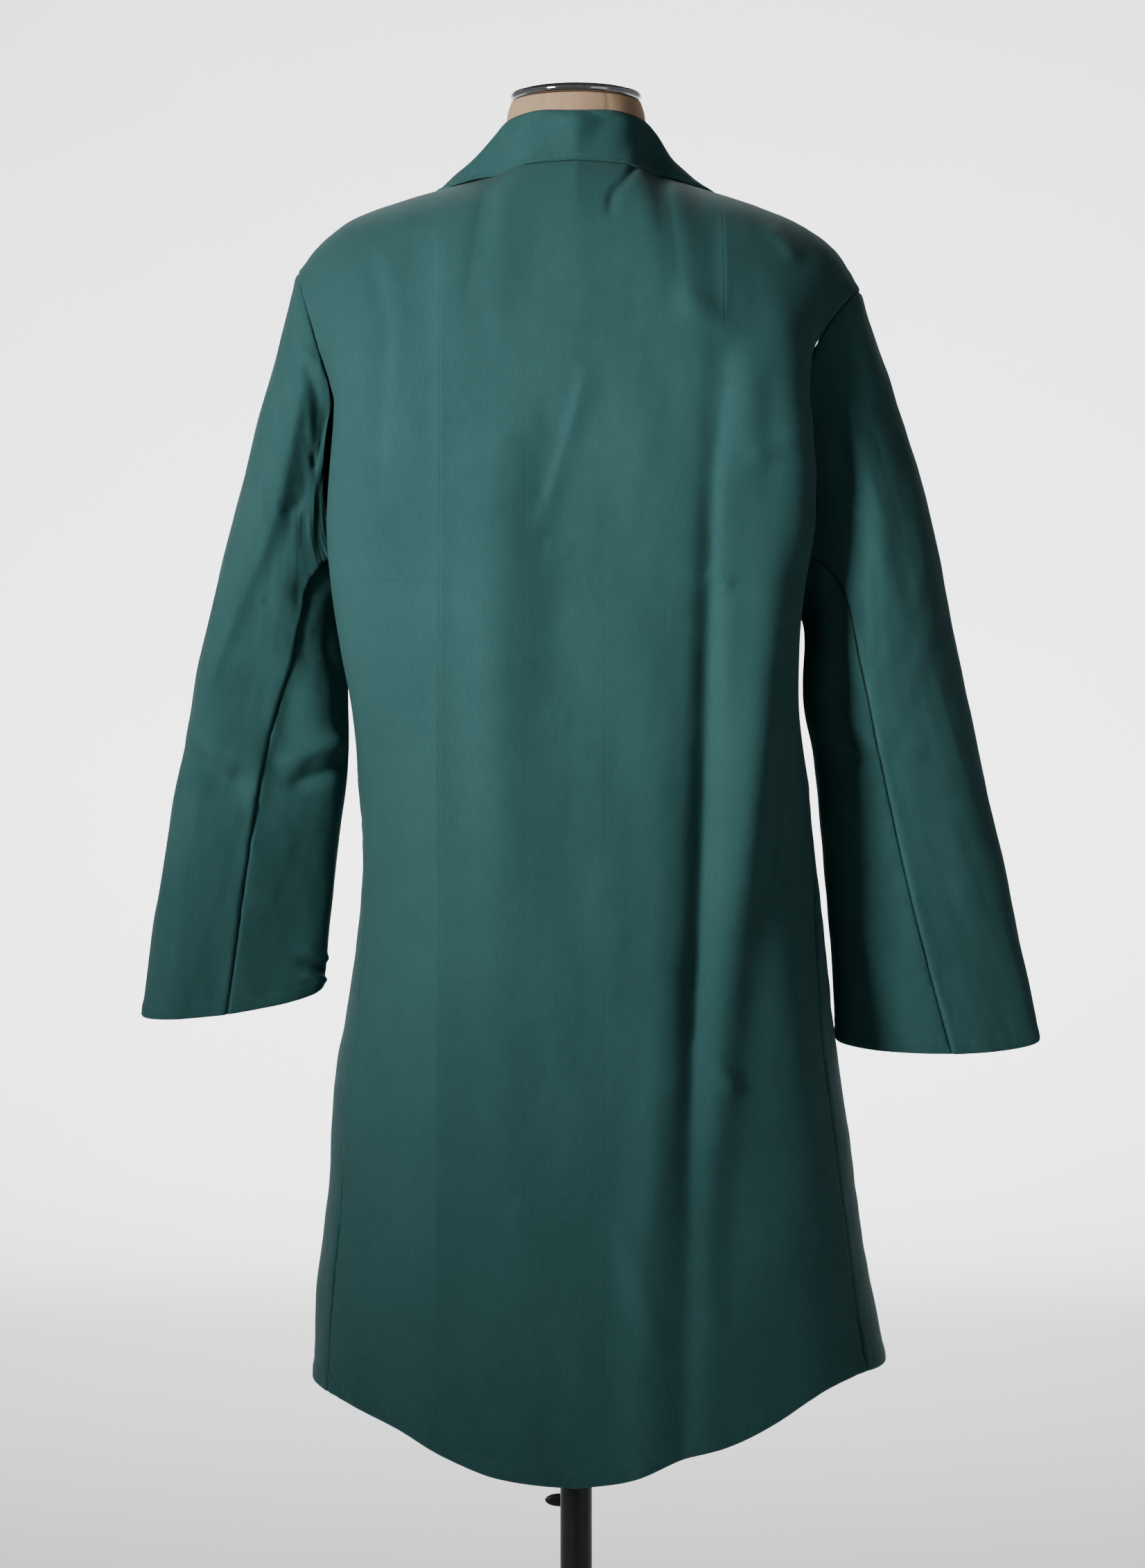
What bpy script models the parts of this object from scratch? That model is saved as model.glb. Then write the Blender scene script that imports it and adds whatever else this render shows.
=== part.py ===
"""Long button-front work coat worn by a limbless dress form on a pole stand.

Metres, +Z up. The origin is the centre of the base plate's underside. The coat's front faces -Y and
the wearer's left is +X. A side is +1 for the wearer's left and -1 for the right. A face is +1 for the
back of the body and -1 for its front.
"""

import bpy
import math
import numpy as np
from mathutils import Vector

# ---- driving dimensions -------------------------------------------------------------------------

CLOTH = 0.0015            # wall of the coat's cloth
GAP = 0.0003              # clearance between neighbouring pieces
LEFT, RIGHT = 1, -1
WORDS = {LEFT: "left", RIGHT: "right"}
BACK, FRONT = 1, -1

UNDERARM_Z = 1.150        # lowest point of the armhole
CHEST_Z = 1.300           # level where the armhole is deepest
ARM_TUCK = 0.050          # distance of the armhole from the side line, at the chest
PINCH_REACH = 0.050       # how far the hollow under the arm reaches round the body
BREAK_Z = 1.200           # where the left front opens into its lapel
NECK_T = 0.36             # share of a half panel's top edge that is neckline
LAP_T = -0.075            # how far each front passes the centre line, as a share of the half panel
LAPEL_FOOT = 1 + math.acos((CHEST_Z - BREAK_Z) / (CHEST_Z - UNDERARM_Z)) / (math.pi / 2)
LAPEL_START = 0.02        # how much higher than the break the left lapel starts
LAPEL_UNDER = 0.26        # the same for the right lapel, which starts where it leaves the left front
LAPEL_FOOT_T, LAPEL_T = 0.012, 0.26
GORGE_W, GORGE_SLANT = 2.80, 0.26

PANEL_ROWS = (10, 5, 8)   # rows of the skirt, the lower armhole and the shoulder
NECK_COLUMNS = 5
SIDE_BACK = 0.29          # how far behind the side line the side seam runs, as a share of a half panel
SIDE_BACK_ROW = 0.40      # skirt row above which it comes forward, to reach the underarm
SHOULDER_COLUMNS = 12
SEAM_ROW = 2              # armhole rows from the underarm up to the sleeve's back seam
FRONT_SEAM_ROW = 4        # the same for its front seam
SLEEVE_SEAM = 0.0008      # clearance along a sleeve's seams, whose walls turn towards each other
LAP_EASE = 0.0010         # clearance between the fronts where the left one laps over the right
LAPEL_LIFT = 0.0030       # how far the lapel's soft roll stands off the front at the gorge

BUTTON_PITCH = 0.135
BUTTON_TOP_Z = 1.175
BUTTON_COUNT = 4
BUTTON_R, BUTTON_H = 0.0100, 0.0032
BUTTON_DISH_R, BUTTON_RIM_R = 0.0060, 0.0075
HOLE_R, HOLE_AT = 0.0010, 0.0028         # thread holes and their distance from the centre

BASE_R, BASE_H = 0.170, 0.012
BASE_SOCKET_Z = 0.045
POLE_R, POLE_WALL = 0.0132, 0.0015
POLE_TOP_Z = 0.480
POST_R = 0.0112
POST_FOOT_Z = 0.160
TORSO_BASE_Z = 0.790
SOCKET_DEPTH = 0.060
CLAMP_Z = 0.3905
BOSS_R, BOSS_L = 0.0080, 0.0090
SCREW_R = 0.0040
HUB_R, HUB_L = 0.0070, 0.0070
WING_MID, WING_L, WING_H = 0.0080, 0.0180, 0.0072
NECK_CAP_R = 0.0550
NECK_CAP_Z = 1.5525

# Sections of the coat's body, from below the hem up to the chest
SECTION_COLUMNS = ("z", "left", "right", "back", "front", "square", "pinch")
SECTIONS = (
    (0.420, 0.2190, 0.2640, 0.158, 0.150, 2.3, 0.000),
    (0.500, 0.2175, 0.2570, 0.155, 0.148, 2.3, 0.000),
    (0.570, 0.2140, 0.2445, 0.152, 0.146, 2.3, 0.000),
    (0.650, 0.2055, 0.2320, 0.149, 0.144, 2.35, 0.000),
    (0.730, 0.2015, 0.2204, 0.146, 0.142, 2.4, 0.000),
    (0.812, 0.1890, 0.2100, 0.143, 0.140, 2.4, 0.000),
    (0.892, 0.1775, 0.2005, 0.140, 0.138, 2.5, 0.000),
    (0.953, 0.1770, 0.1940, 0.138, 0.136, 2.6, 0.000),
    (1.000, 0.1820, 0.1920, 0.136, 0.134, 2.8, 0.015),
    (1.050, 0.1910, 0.1900, 0.134, 0.132, 3.1, 0.070),
    (1.100, 0.2040, 0.1920, 0.132, 0.131, 3.3, 0.140),
    (1.150, 0.2110, 0.1960, 0.130, 0.130, 3.5, 0.180),
    (1.200, 0.2145, 0.2025, 0.128, 0.130, 3.5, 0.175),
    (1.250, 0.2125, 0.2015, 0.127, 0.129, 3.5, 0.160),
    (1.300, 0.2080, 0.1965, 0.125, 0.126, 3.5, 0.130),
)

# Rise of the back's hem over its lowest point, by share of the way from the centre to the side seam
HEM_BACK_Z = 0.435
HEM_BACK_COLUMNS = ("share", "left", "right")
HEM_BACK = (
    (0.00, 0.000, 0.000), (0.10, 0.003, 0.006), (0.20, 0.009, 0.021), (0.30, 0.022, 0.031),
    (0.40, 0.038, 0.047), (0.50, 0.049, 0.065), (0.65, 0.060, 0.077), (0.80, 0.064, 0.079),
    (1.00, 0.065, 0.079),
)
HEM_FRONT_Z = 0.470       # the front's hem at the centre; it rises evenly to the side seams

# Top edge of a half panel: the neckline, then the shoulder seam out to the top of the sleeve
TOP_COLUMNS = ("t", "x left", "x right", "z left", "z right", "y back", "y front")
TOP_EDGE = (
    (0.00, 0.000, 0.000, 1.497, 1.497, 0.066, -0.100),
    (0.18, 0.046, 0.046, 1.4955, 1.4955, 0.050, -0.070),
    (0.36, 0.072, 0.072, 1.4900, 1.4900, 0.000, 0.000),
    (0.50, 0.110, 0.110, 1.4810, 1.4795, 0.000, 0.000),
    (0.65, 0.152, 0.153, 1.4685, 1.4655, 0.000, 0.000),
    (0.80, 0.190, 0.192, 1.4530, 1.4480, 0.000, 0.000),
    (0.91, 0.2140, 0.2180, 1.4330, 1.4270, 0.000, 0.000),
    (1.00, 0.2300, 0.2360, 1.4120, 1.3970, 0.000, 0.000),
)

# Directions in which a half panel leaves the chest line and meets the top edge
RISE_COLUMNS = ("t", "chest left", "chest right", "chest out", "chest z",
                "top left", "top right", "top out", "top z")
RISE = (
    (0.00, 0.000, 0.000, 0.000, 0.220, 0.000, 0.000, -0.090, 0.060),
    (0.18, 0.000, 0.000, 0.000, 0.220, 0.000, 0.000, -0.140, 0.050),
    (0.30, 0.000, 0.000, 0.000, 0.220, 0.000, 0.000, -0.270, 0.020),
    (0.36, 0.000, 0.000, 0.000, 0.220, 0.000, 0.000, -0.300, 0.010),
    (0.50, 0.000, 0.000, 0.000, 0.210, 0.005, 0.005, -0.250, 0.005),
    (0.70, 0.000, 0.000, 0.000, 0.200, 0.010, 0.010, -0.205, 0.000),
    (0.90, 0.020, 0.010, 0.010, 0.150, 0.010, 0.020, -0.160, 0.005),
    (1.00, 0.040, -0.020, 0.012, 0.110, 0.000, 0.030, -0.140, 0.008),
)

# Rings of each sleeve below the armhole: outer and inner corner, half depths, how far the ring's back
# hangs below its corners, the power that squares its back, and how much fuller the back is outwards
RING_COLUMNS = ("way", "outer x", "outer z", "inner x", "inner z", "centre y", "back", "front", "drop",
                "square", "skew")
SLEEVE_RINGS = {
    LEFT: (
        (0.24, 0.2800, 1.225, 0.1905, 1.120, 0.000, 0.062, 0.068, 0.000, 1.00, 0.00),
        (0.42, 0.3050, 1.120, 0.1885, 1.055, 0.000, 0.060, 0.062, 0.000, 0.90, 0.10),
        (0.60, 0.3243, 1.021, 0.1900, 0.995, -0.004, 0.055, 0.055, 0.002, 0.72, 0.28),
        (0.80, 0.3450, 0.905, 0.2010, 0.905, -0.010, 0.042, 0.045, 0.006, 0.62, 0.42),
        (1.00, 0.3610, 0.799, 0.2095, 0.820, -0.014, 0.037, 0.040, 0.010, 0.66, 0.36),
    ),
    RIGHT: (
        (0.24, 0.2900, 1.225, 0.1885, 1.120, 0.000, 0.058, 0.066, 0.000, 1.00, 0.00),
        (0.42, 0.3115, 1.118, 0.1880, 1.060, 0.000, 0.052, 0.058, 0.000, 1.00, 0.00),
        (0.60, 0.3345, 1.015, 0.1970, 1.005, -0.004, 0.045, 0.048, 0.002, 1.00, 0.00),
        (0.80, 0.3605, 0.900, 0.2085, 0.890, -0.008, 0.036, 0.038, 0.006, 1.00, 0.00),
        (1.00, 0.3857, 0.7775, 0.2158, 0.7775, -0.010, 0.030, 0.030, 0.011, 1.00, 0.00),
    ),
}
# Degrees round the sleeve, from its outer line, at which the back seam lies
SEAM_COLUMNS = ("way", "left", "right")
BACK_SEAM = (
    (0.00, 144.0, 144.0), (0.24, 124.0, 118.0), (0.42, 106.0, 106.0), (0.60, 93.0, 104.0),
    (0.80, 90.0, 96.0), (1.00, 89.0, 84.0),
)
FRONT_SEAM_DEGREES = 252.0

# Collar lines from the centre back round to the front end, for the left side. The edge lies on the
# body: t and v place it, where v is the row on the back up to 3 and 6 less the row on the front
COLLAR_COLUMNS = ("s", "seam", "fold", "edge t", "edge v")
COLLAR = (
    (0.00, (0.000, 0.0660, 1.4990), (0.000, 0.0700, 1.5350), 0.00, 2.945),
    (0.25, (0.034, 0.0590, 1.4985), (0.036, 0.0620, 1.5350), 0.19, 2.930),
    (0.45, (0.060, 0.0360, 1.4960), (0.059, 0.0330, 1.5300), 0.39, 2.920),
    (0.62, (0.070, 0.0030, 1.4930), (0.0665, 0.0040, 1.5180), 0.50, 3.000),
    (0.80, (0.067, -0.0260, 1.4945), (0.066, -0.0300, 1.5060), 0.54, 3.120),
    (1.00, (0.059, -0.0560, 1.4800), (0.061, -0.0600, 1.4880), 0.53, 3.260),
)
COLLAR_ROLL = 0.0050      # size of the collar's soft fold
STAND_SHARE, STAND_LEAN = 0.82, 0.0012   # where the stand starts to turn over, and how far it leans in
FALL_SWELL = 0.0015       # how far the fall swells between its fold and its edge
RIGHT_HOLLOW = 0.0055     # how much more hollow the fall hangs at the right of the neck

# Large folds raised along the back panel: ends by x and z, half width, height, and the share of the
# height that is left at the foot
FOLD_COLUMNS = ("x top", "z top", "x foot", "z foot", "half width", "height", "foot")
BACK_FOLDS = (
    (-0.152, 1.140, -0.087, 0.460, 0.018, 0.0080, 0.25),
    (-0.113, 1.240, -0.086, 0.460, 0.012, -0.0060, 0.80),
    (-0.062, 0.780, -0.050, 0.440, 0.018, 0.0045, 1.00),
    (0.064, 1.300, 0.059, 0.700, 0.034, 0.0070, 0.20),
    (0.110, 1.240, 0.116, 0.560, 0.022, 0.0030, 1.00),
)
FOLD_START = 0.24         # share of a fold's run over which it grows
FOLD_FADE = (0.45, 0.80)  # shares of its run between which it falls to its share at the foot

# Large folds of each sleeve: soft lines from (angle, way) to (angle, way), half width and height
SLEEVE_FOLD_COLUMNS = ("start angle", "start way", "end angle", "end way", "half width", "height")
SLEEVE_FOLDS = {
    LEFT: (
        (86.0, 0.10, 40.0, 0.52, 16.0, -0.0080),
        (118.0, 0.30, 96.0, 0.75, 14.0, -0.0060),
        (140.0, 0.42, 150.0, 0.70, 20.0, 0.0050),
    ),
    RIGHT: (
        (120.0, 0.15, 128.0, 0.62, 16.0, -0.0050),
    ),
}

# Sections of the dress form from the base of the torso to the top of the neck
TORSO_COLUMNS = ("z", "half width", "back", "front", "square")
TORSO = (
    (0.790, 0.148, 0.100, 0.094, 2.2), (0.802, 0.158, 0.109, 0.102, 2.2),
    (0.860, 0.164, 0.114, 0.106, 2.2), (0.950, 0.155, 0.102, 0.098, 2.2),
    (1.050, 0.143, 0.090, 0.092, 2.2), (1.150, 0.150, 0.096, 0.103, 2.25),
    (1.240, 0.160, 0.104, 0.114, 2.3), (1.320, 0.167, 0.106, 0.110, 2.35),
    (1.375, 0.180, 0.095, 0.090, 2.2), (1.410, 0.184, 0.080, 0.075, 2.1),
    (1.437, 0.176, 0.066, 0.062, 2.0), (1.455, 0.155, 0.060, 0.056, 2.0),
    (1.469, 0.126, 0.052, 0.0510, 2.0), (1.4780, 0.098, 0.0500, 0.0490, 2.0),
    (1.4835, 0.0735, 0.0490, 0.0490, 2.0), (1.494, 0.0593, 0.0520, 0.0520, 2.0),
    (1.525, 0.0580, 0.0565, 0.0565, 2.0),
    (1.545, 0.0565, 0.0560, 0.0560, 2.0), (1.5525, 0.0540, 0.0540, 0.0540, 2.0),
)

# ---- small tools --------------------------------------------------------------------------------


def clear_scene():
    for item in list(bpy.data.objects):
        bpy.data.objects.remove(item, do_unlink=True)


def collection(name):
    group = bpy.data.collections.new(name)
    bpy.context.scene.collection.children.link(group)
    return group


def material(name, colour, roughness, metallic=0.0):
    finish = bpy.data.materials.new(name)
    finish.use_nodes = True
    shader = finish.node_tree.nodes["Principled BSDF"]
    shader.inputs["Base Color"].default_value = (*colour, 1.0)
    shader.inputs["Roughness"].default_value = roughness
    shader.inputs["Metallic"].default_value = metallic
    return finish


def spline(knots, values, x):
    """Smooth curve through the table's rows, read at x; each slope comes from both neighbours."""
    knots = np.asarray(knots, float)
    values = np.asarray(values, float)
    x = np.clip(np.asarray(x, float), knots[0], knots[-1])
    spread = (-1,) + (1,) * (values.ndim - 1)
    steps = np.diff(knots).reshape(spread)
    rises = np.diff(values, axis=0) / steps
    middle = (rises[:-1] * steps[1:] + rises[1:] * steps[:-1]) / (steps[:-1] + steps[1:])
    slopes = np.concatenate([rises[:1], middle, rises[-1:]])
    index = np.clip(np.searchsorted(knots, x, side="right") - 1, 0, len(knots) - 2)
    step = np.diff(knots)[index]
    u = (x - knots[index]) / step
    extra = (...,) + (None,) * (values.ndim - 1)
    u, step = u[extra], step[extra]
    return (values[index] * (1 + 2 * u) * (1 - u) ** 2 + values[index + 1] * u * u * (3 - 2 * u)
            + slopes[index] * step * u * (1 - u) ** 2 - slopes[index + 1] * step * u * u * (1 - u))


def column(table, names, name, x):
    """One named column of a table, read at x along its first column."""
    place = names.index(name)
    return spline([row[0] for row in table], [row[place] for row in table], x)


def named_rows(names, table):
    """The table's rows as dictionaries keyed by column name."""
    return [dict(zip(names, row)) for row in table]


def hermite(start, end, leave, arrive, u):
    """Smooth curve from start to end that leaves and arrives with the two given velocities."""
    u = u[..., None]
    return (start * (1 + 2 * u) * (1 - u) ** 2 + end * u * u * (3 - 2 * u)
            + leave * u * (1 - u) ** 2 - arrive * u * u * (1 - u))


# ---- the coat's surfaces ------------------------------------------------------------------------


def section_point(z, t, side, face, tuck):
    """Point of a body section at height z; t runs from the centre line (0) to the panel's edge (1)."""
    half = column(SECTIONS, SECTION_COLUMNS, WORDS[side], z)
    depth = column(SECTIONS, SECTION_COLUMNS, "back" if face == BACK else "front", z)
    square = column(SECTIONS, SECTION_COLUMNS, "square", z)
    pinch = column(SECTIONS, SECTION_COLUMNS, "pinch", z)
    share = tuck / depth
    edge_angle = np.arctan2(share, (1 - share ** square) ** (1 / square))
    angle = math.pi / 2 - t * (math.pi / 2 - edge_angle)
    c, s = np.cos(angle), np.sin(angle)
    reach = (np.abs(c) ** square + np.abs(s) ** square) ** (1 / square)
    x, y = half * c / reach, depth * s / reach
    x = x * (1 - pinch * np.exp(-(y / PINCH_REACH) ** 2))
    return np.stack([side * x, face * y, z], axis=-1)


def hem_height(t, side, face):
    share = np.abs(t)
    if face == BACK:
        return HEM_BACK_Z + column(HEM_BACK, HEM_BACK_COLUMNS, WORDS[side], share)
    side_z = HEM_BACK_Z + HEM_BACK[-1][1 if side == LEFT else 2]
    return HEM_FRONT_Z + (side_z - HEM_FRONT_Z) * share ** 2


def top_point(t, side, face):
    x = column(TOP_EDGE, TOP_COLUMNS, f"x {WORDS[side]}", t)
    z = column(TOP_EDGE, TOP_COLUMNS, f"z {WORDS[side]}", t)
    y = column(TOP_EDGE, TOP_COLUMNS, "y back" if face == BACK else "y front", t)
    return np.stack([side * x, np.where(t < NECK_T, y, 0.0), z], axis=-1)


def rise(t, side, face, end):
    x, out, z = (column(RISE, RISE_COLUMNS, f"{end} {axis}", t) for axis in (WORDS[side], "out", "z"))
    return np.stack([side * x, face * out, z], axis=-1)


def body_point(t, w, side, face):
    """Body surface: w is 0 at the hem, 1 at the underarm, 2 at the chest line and 3 at the top edge."""
    t, w = np.broadcast_arrays(np.asarray(t, float), np.asarray(w, float))
    hem = hem_height(t, side, face)
    skirt_z = hem + (UNDERARM_Z - hem) * np.clip(w, 0, 1)
    turn = np.clip(w - 1, 0, 1) * math.pi / 2
    arm_z = CHEST_Z - (CHEST_Z - UNDERARM_Z) * np.cos(turn)
    z = np.where(w <= 1, skirt_z, arm_z)
    lower = section_point(z, t, side, face, ARM_TUCK * np.sin(turn))
    upper = hermite(lower, top_point(np.maximum(t, 0), side, face), rise(t, side, face, "chest"),
                    rise(t, side, face, "top"), np.clip(w - 2, 0, 1))
    return np.where((w <= 2)[..., None], lower, upper)


def fold_height(points, folds):
    """Height of the large folds along a panel: ridges that grow from their tops and fade at the foot."""
    x, z = points[..., 0], points[..., 2]
    total = np.zeros_like(x)
    for fold in named_rows(FOLD_COLUMNS, folds):
        way = np.clip((fold["z top"] - z) / (fold["z top"] - fold["z foot"]), 0, 1)
        line = fold["x top"] + (fold["x foot"] - fold["x top"]) * way
        fade = ease(way, 0.0, FOLD_START) * (1 - (1 - fold["foot"]) * ease(way, *FOLD_FADE))
        total += fold["height"] * fade * np.exp(-((x - line) / fold["half width"]) ** 2)
    return total


def ease(x, low, high):
    """Smooth step from 0 at low to 1 at high."""
    x = np.clip((x - low) / (high - low), 0, 1)
    return x * x * (3 - 2 * x)


def unit(vectors):
    return vectors / np.linalg.norm(vectors, axis=-1, keepdims=True)


def surface_normals(surface, a, b, step=0.002):
    """Unit normals of a surface of two parameters, from small steps that stay inside its range."""
    across = surface(a + step, b) - surface(a - step, b)
    along = surface(a, b + step) - surface(a, b - step)
    return unit(np.cross(across, along))


def body_normals(t, w, side, face):
    """Outward normals of the body surface; past its last row the surface is read one step earlier."""
    t, w = np.broadcast_arrays(np.asarray(t, float), np.asarray(w, float))
    inside = np.clip(w, 0.004, 2.996)
    normal = surface_normals(lambda a, b: body_point(a, b, side, face), np.minimum(t, 0.997), inside)
    return -normal * side * face


def seam_normals(w, side, face):
    """Shared normals along the armhole, half way between the body's and the sleeve's."""
    angle = (3 - w) / 2 * math.pi
    sleeve = sleeve_normals(angle if face == BACK else -angle, np.full(np.shape(w), 0.006), side)
    return unit(body_normals(np.ones_like(w), w, side, face) + sleeve)


def shoulder_normals(t, side):
    """Shared normals along the neckline and the shoulder seam, where back and front meet."""
    top = np.full(np.shape(t), 3.0)
    return unit(body_normals(t, top, side, BACK) + body_normals(t, top, side, FRONT))


def row_heights(rows):
    """Rows of a body panel: the skirt, the lower armhole and the shoulder each have their own count."""
    skirt, arm, shoulder = rows
    return np.concatenate([np.linspace(0, 1, skirt, endpoint=False),
                           1 + np.linspace(0, 1, arm, endpoint=False), 2 + np.linspace(0, 1, shoulder)])


def tip_normal(side):
    """Shared normal at the top of the sleeve, where the two body panels and the sleeve meet."""
    end = np.ones(1)
    both = [seam_normals(3 * end, side, face) for face in (BACK, FRONT)]
    return unit(shoulder_normals(end, side) + both[0] + both[1])[0]


def half_panel(t, w, side, face):
    """Points and normals of half a body, with shared normals at the armhole and the shoulder seam.

    Past the side line (t over 1) the panel runs on over the other face.
    """
    points = body_point(np.minimum(t, 1), w, side, face)
    normal = body_normals(np.minimum(t, 1), w, side, face)
    past = t > 1
    points[past] = body_point(2 - t[past], w[past], side, -face)
    normal[past] = body_normals(2 - t[past], w[past], side, -face)
    at_arm = (w[:, -1] > 1)
    normal[at_arm, -1] = seam_normals(w[at_arm, -1], side, face)
    on_seam = t[-1] >= NECK_T
    normal[-1, on_seam] = shoulder_normals(t[-1, on_seam], side)
    normal[-1, -1] = tip_normal(side)
    return points, normal


def side_seam(w):
    """Where the back ends: behind the side line in the skirt, and at its edge from the underarm up."""
    return 1 - SIDE_BACK * (1 - ease(w, SIDE_BACK_ROW, 1.0))


def draw_back(points, w):
    """Move the top row and the side column back into the panel, further along the armhole."""
    amount = np.where(w[:, -1:] > 1, SLEEVE_SEAM, GAP) / 2
    points[-1] += unit(points[-2] - points[-1]) * GAP / 2
    points[:, -1] += unit(points[:, -2] - points[:, -1]) * amount
    return points


def shoulder_columns():
    return np.linspace(NECK_T, 1, SHOULDER_COLUMNS)


def back_panel():
    """The back's outer surface and normals, from the right side round to the left, hem to top."""
    w = row_heights(PANEL_ROWS)
    t = np.concatenate([np.linspace(0, NECK_T, NECK_COLUMNS, endpoint=False), shoulder_columns()])
    t, w = np.broadcast_arrays(t[None, :], w[:, None])
    t = t * side_seam(w)
    halves = []
    for side in (RIGHT, LEFT):
        points, normal = half_panel(t, w, side, BACK)
        points += normal * fold_height(points, BACK_FOLDS)[..., None]
        halves.append((draw_back(points, w), normal))
    (right, right_normal), (left, left_normal) = halves
    centre = unit(right_normal[:, :1] + left_normal[:, :1])
    points = np.concatenate([right[:, :0:-1], left], axis=1)
    normal = np.concatenate([right_normal[:, :0:-1], centre, left_normal[:, 1:]], axis=1)
    return points, normal


def roll_t(w):
    """The front edge of a front: past the centre line up to the break, then along the roll line."""
    way = np.clip((w - LAPEL_FOOT) / (3 - LAPEL_FOOT), 0, 1)
    return LAP_T + (NECK_T - LAP_T) * way


def front_panel(side):
    """A front's outer surface and normals; the right one dips under the left near the centre."""
    w = row_heights(PANEL_ROWS)[:, None]
    t0 = roll_t(w)
    t = t0 + (2 - side_seam(w) - t0) * np.linspace(0, 1, SHOULDER_COLUMNS)[None, :]
    w = np.broadcast_to(w, t.shape)
    points, normal = half_panel(t, w, side, FRONT)
    if side == RIGHT:
        points -= normal * under_lap(points)[..., None]
    return draw_back(points, w), normal


def under_lap(points):
    """How far the right front lies inside the left one: one wall and its ease at the centre."""
    near = np.clip((points[..., 0] + 0.075) / 0.045, 0, 1)
    below = np.clip((1.40 - points[..., 2]) / 0.08, 0, 1)
    return (CLOTH + LAP_EASE) * near * near * (3 - 2 * near) * below


def lapel(side, columns=6, rows=12):
    """The turned facing: it lies on the front, from the roll line out, and ends at the gorge line."""
    r = np.linspace(0, 1, rows)[:, None]
    d = np.linspace(0, 1, columns)[None, :]
    foot = LAPEL_FOOT + (LAPEL_START if side == LEFT else LAPEL_UNDER)
    w = foot + r * (GORGE_W - GORGE_SLANT * d - foot)
    t = roll_t(w) + d * (LAPEL_FOOT_T + (LAPEL_T - LAPEL_FOOT_T) * r)
    normal = body_normals(t, w, side, FRONT)
    lift = GAP + CLOTH + LAPEL_LIFT * np.sqrt(r) * (1 - 0.3 * d)
    points = body_point(t, w, side, FRONT)
    if side == RIGHT:
        lift = lift - under_lap(points)
    return points + normal * lift[..., None], normal


def collar(columns=25, rows=8):
    """The collar from its right front end round the back: seam, stand, fold, fall and outer edge."""
    s = np.linspace(-1, 1, columns)
    side = np.where(s < 0, RIGHT, LEFT)
    s = np.abs(s)
    seam, fold, edge_t, v = (column(COLLAR, COLLAR_COLUMNS, name, s) for name in COLLAR_COLUMNS[1:])
    face = np.where(v <= 3, BACK, FRONT)
    w = np.where(v <= 3, v, 6 - v)
    edge = np.zeros_like(seam)
    for one_face in (BACK, FRONT):
        for one_side in (LEFT, RIGHT):
            pick = (face == one_face) & (side == one_side)
            t, height = edge_t[pick], w[pick]
            normal = body_normals(t, height, one_side, one_face)
            edge[pick] = body_point(t, height, one_side, one_face) + normal * (CLOTH + GAP)
    mirror = np.stack([side, np.ones_like(side), np.ones_like(side)], axis=-1)
    seam, fold = seam * mirror, fold * mirror
    out = unit(edge * (1, 1, 0) - fold * (1, 1, 0))
    up = np.array((0.0, 0.0, 1.0))
    top_in = seam + (fold - seam) * STAND_SHARE - out * STAND_LEAN
    top_out = fold + out * COLLAR_ROLL - up * COLLAR_ROLL
    hollow = np.where(side == LEFT, 0, RIGHT_HOLLOW * np.minimum(s / 0.4, 1))[:, None]
    middle = (top_out + edge) / 2 + out * (FALL_SWELL - hollow) + up * 2 * FALL_SWELL
    lines = np.stack([seam, top_in, fold, top_out, middle, edge])
    points = spline([0, 0.30, 0.40, 0.48, 0.72, 1.0], lines, np.linspace(0, 1, rows))
    normal = unit(np.cross(np.gradient(points, axis=1), np.gradient(points, axis=0)))
    return points, normal


def sleeve_point(angle, way, side):
    """Sleeve surface: angle runs round from the outer line over the back, way from armhole to cuff."""
    turn = np.mod(angle, 2 * math.pi)
    behind = turn <= math.pi
    share = np.where(behind, turn, 2 * math.pi - turn) / math.pi
    hole_back = body_point(np.ones_like(share), 3 - 2 * share, side, BACK)
    hole_front = body_point(np.ones_like(share), 3 - 2 * share, side, FRONT)
    rings = [np.where(behind[..., None], hole_back, hole_front)]
    c, s = np.cos(turn), np.sin(turn)
    knots = [0.0]
    for ring in named_rows(RING_COLUMNS, SLEEVE_RINGS[side]):
        x, z = ((ring[f"outer {axis}"] * (1 + c) + ring[f"inner {axis}"] * (1 - c)) / 2 for axis in "xz")
        bulge = np.where(s > 0, np.abs(s) ** ring["square"] * (1 + ring["skew"] * c), s)
        y = ring["centre y"] + np.where(s > 0, ring["back"], ring["front"]) * bulge
        rings.append(np.stack([side * x, y, z - ring["drop"] * s], axis=-1))
        knots.append(ring["way"])
    return ring_spline(knots, np.stack(rings), way)


def ring_spline(knots, rings, way):
    """Smooth curves down the sleeve through its rings, where each point has its own way along."""
    knots = np.asarray(knots)
    steps = np.diff(knots).reshape(-1, *([1] * (rings.ndim - 1)))
    rises = np.diff(rings, axis=0) / steps
    middle = (rises[:-1] * steps[1:] + rises[1:] * steps[:-1]) / (steps[:-1] + steps[1:])
    slopes = np.concatenate([rises[:1], middle, rises[-1:]])
    index = np.clip(np.searchsorted(knots, way, side="right") - 1, 0, len(knots) - 2)
    grid = tuple(np.indices(way.shape))
    step = np.diff(knots)[index][..., None]
    u = (way - knots[index])[..., None] / step
    low, high = rings[(index,) + grid], rings[(index + 1,) + grid]
    slope_low, slope_high = slopes[(index,) + grid], slopes[(index + 1,) + grid]
    return (low * (1 + 2 * u) * (1 - u) ** 2 + high * u * u * (3 - 2 * u)
            + slope_low * step * u * (1 - u) ** 2 - slope_high * step * u * u * (1 - u))


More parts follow.
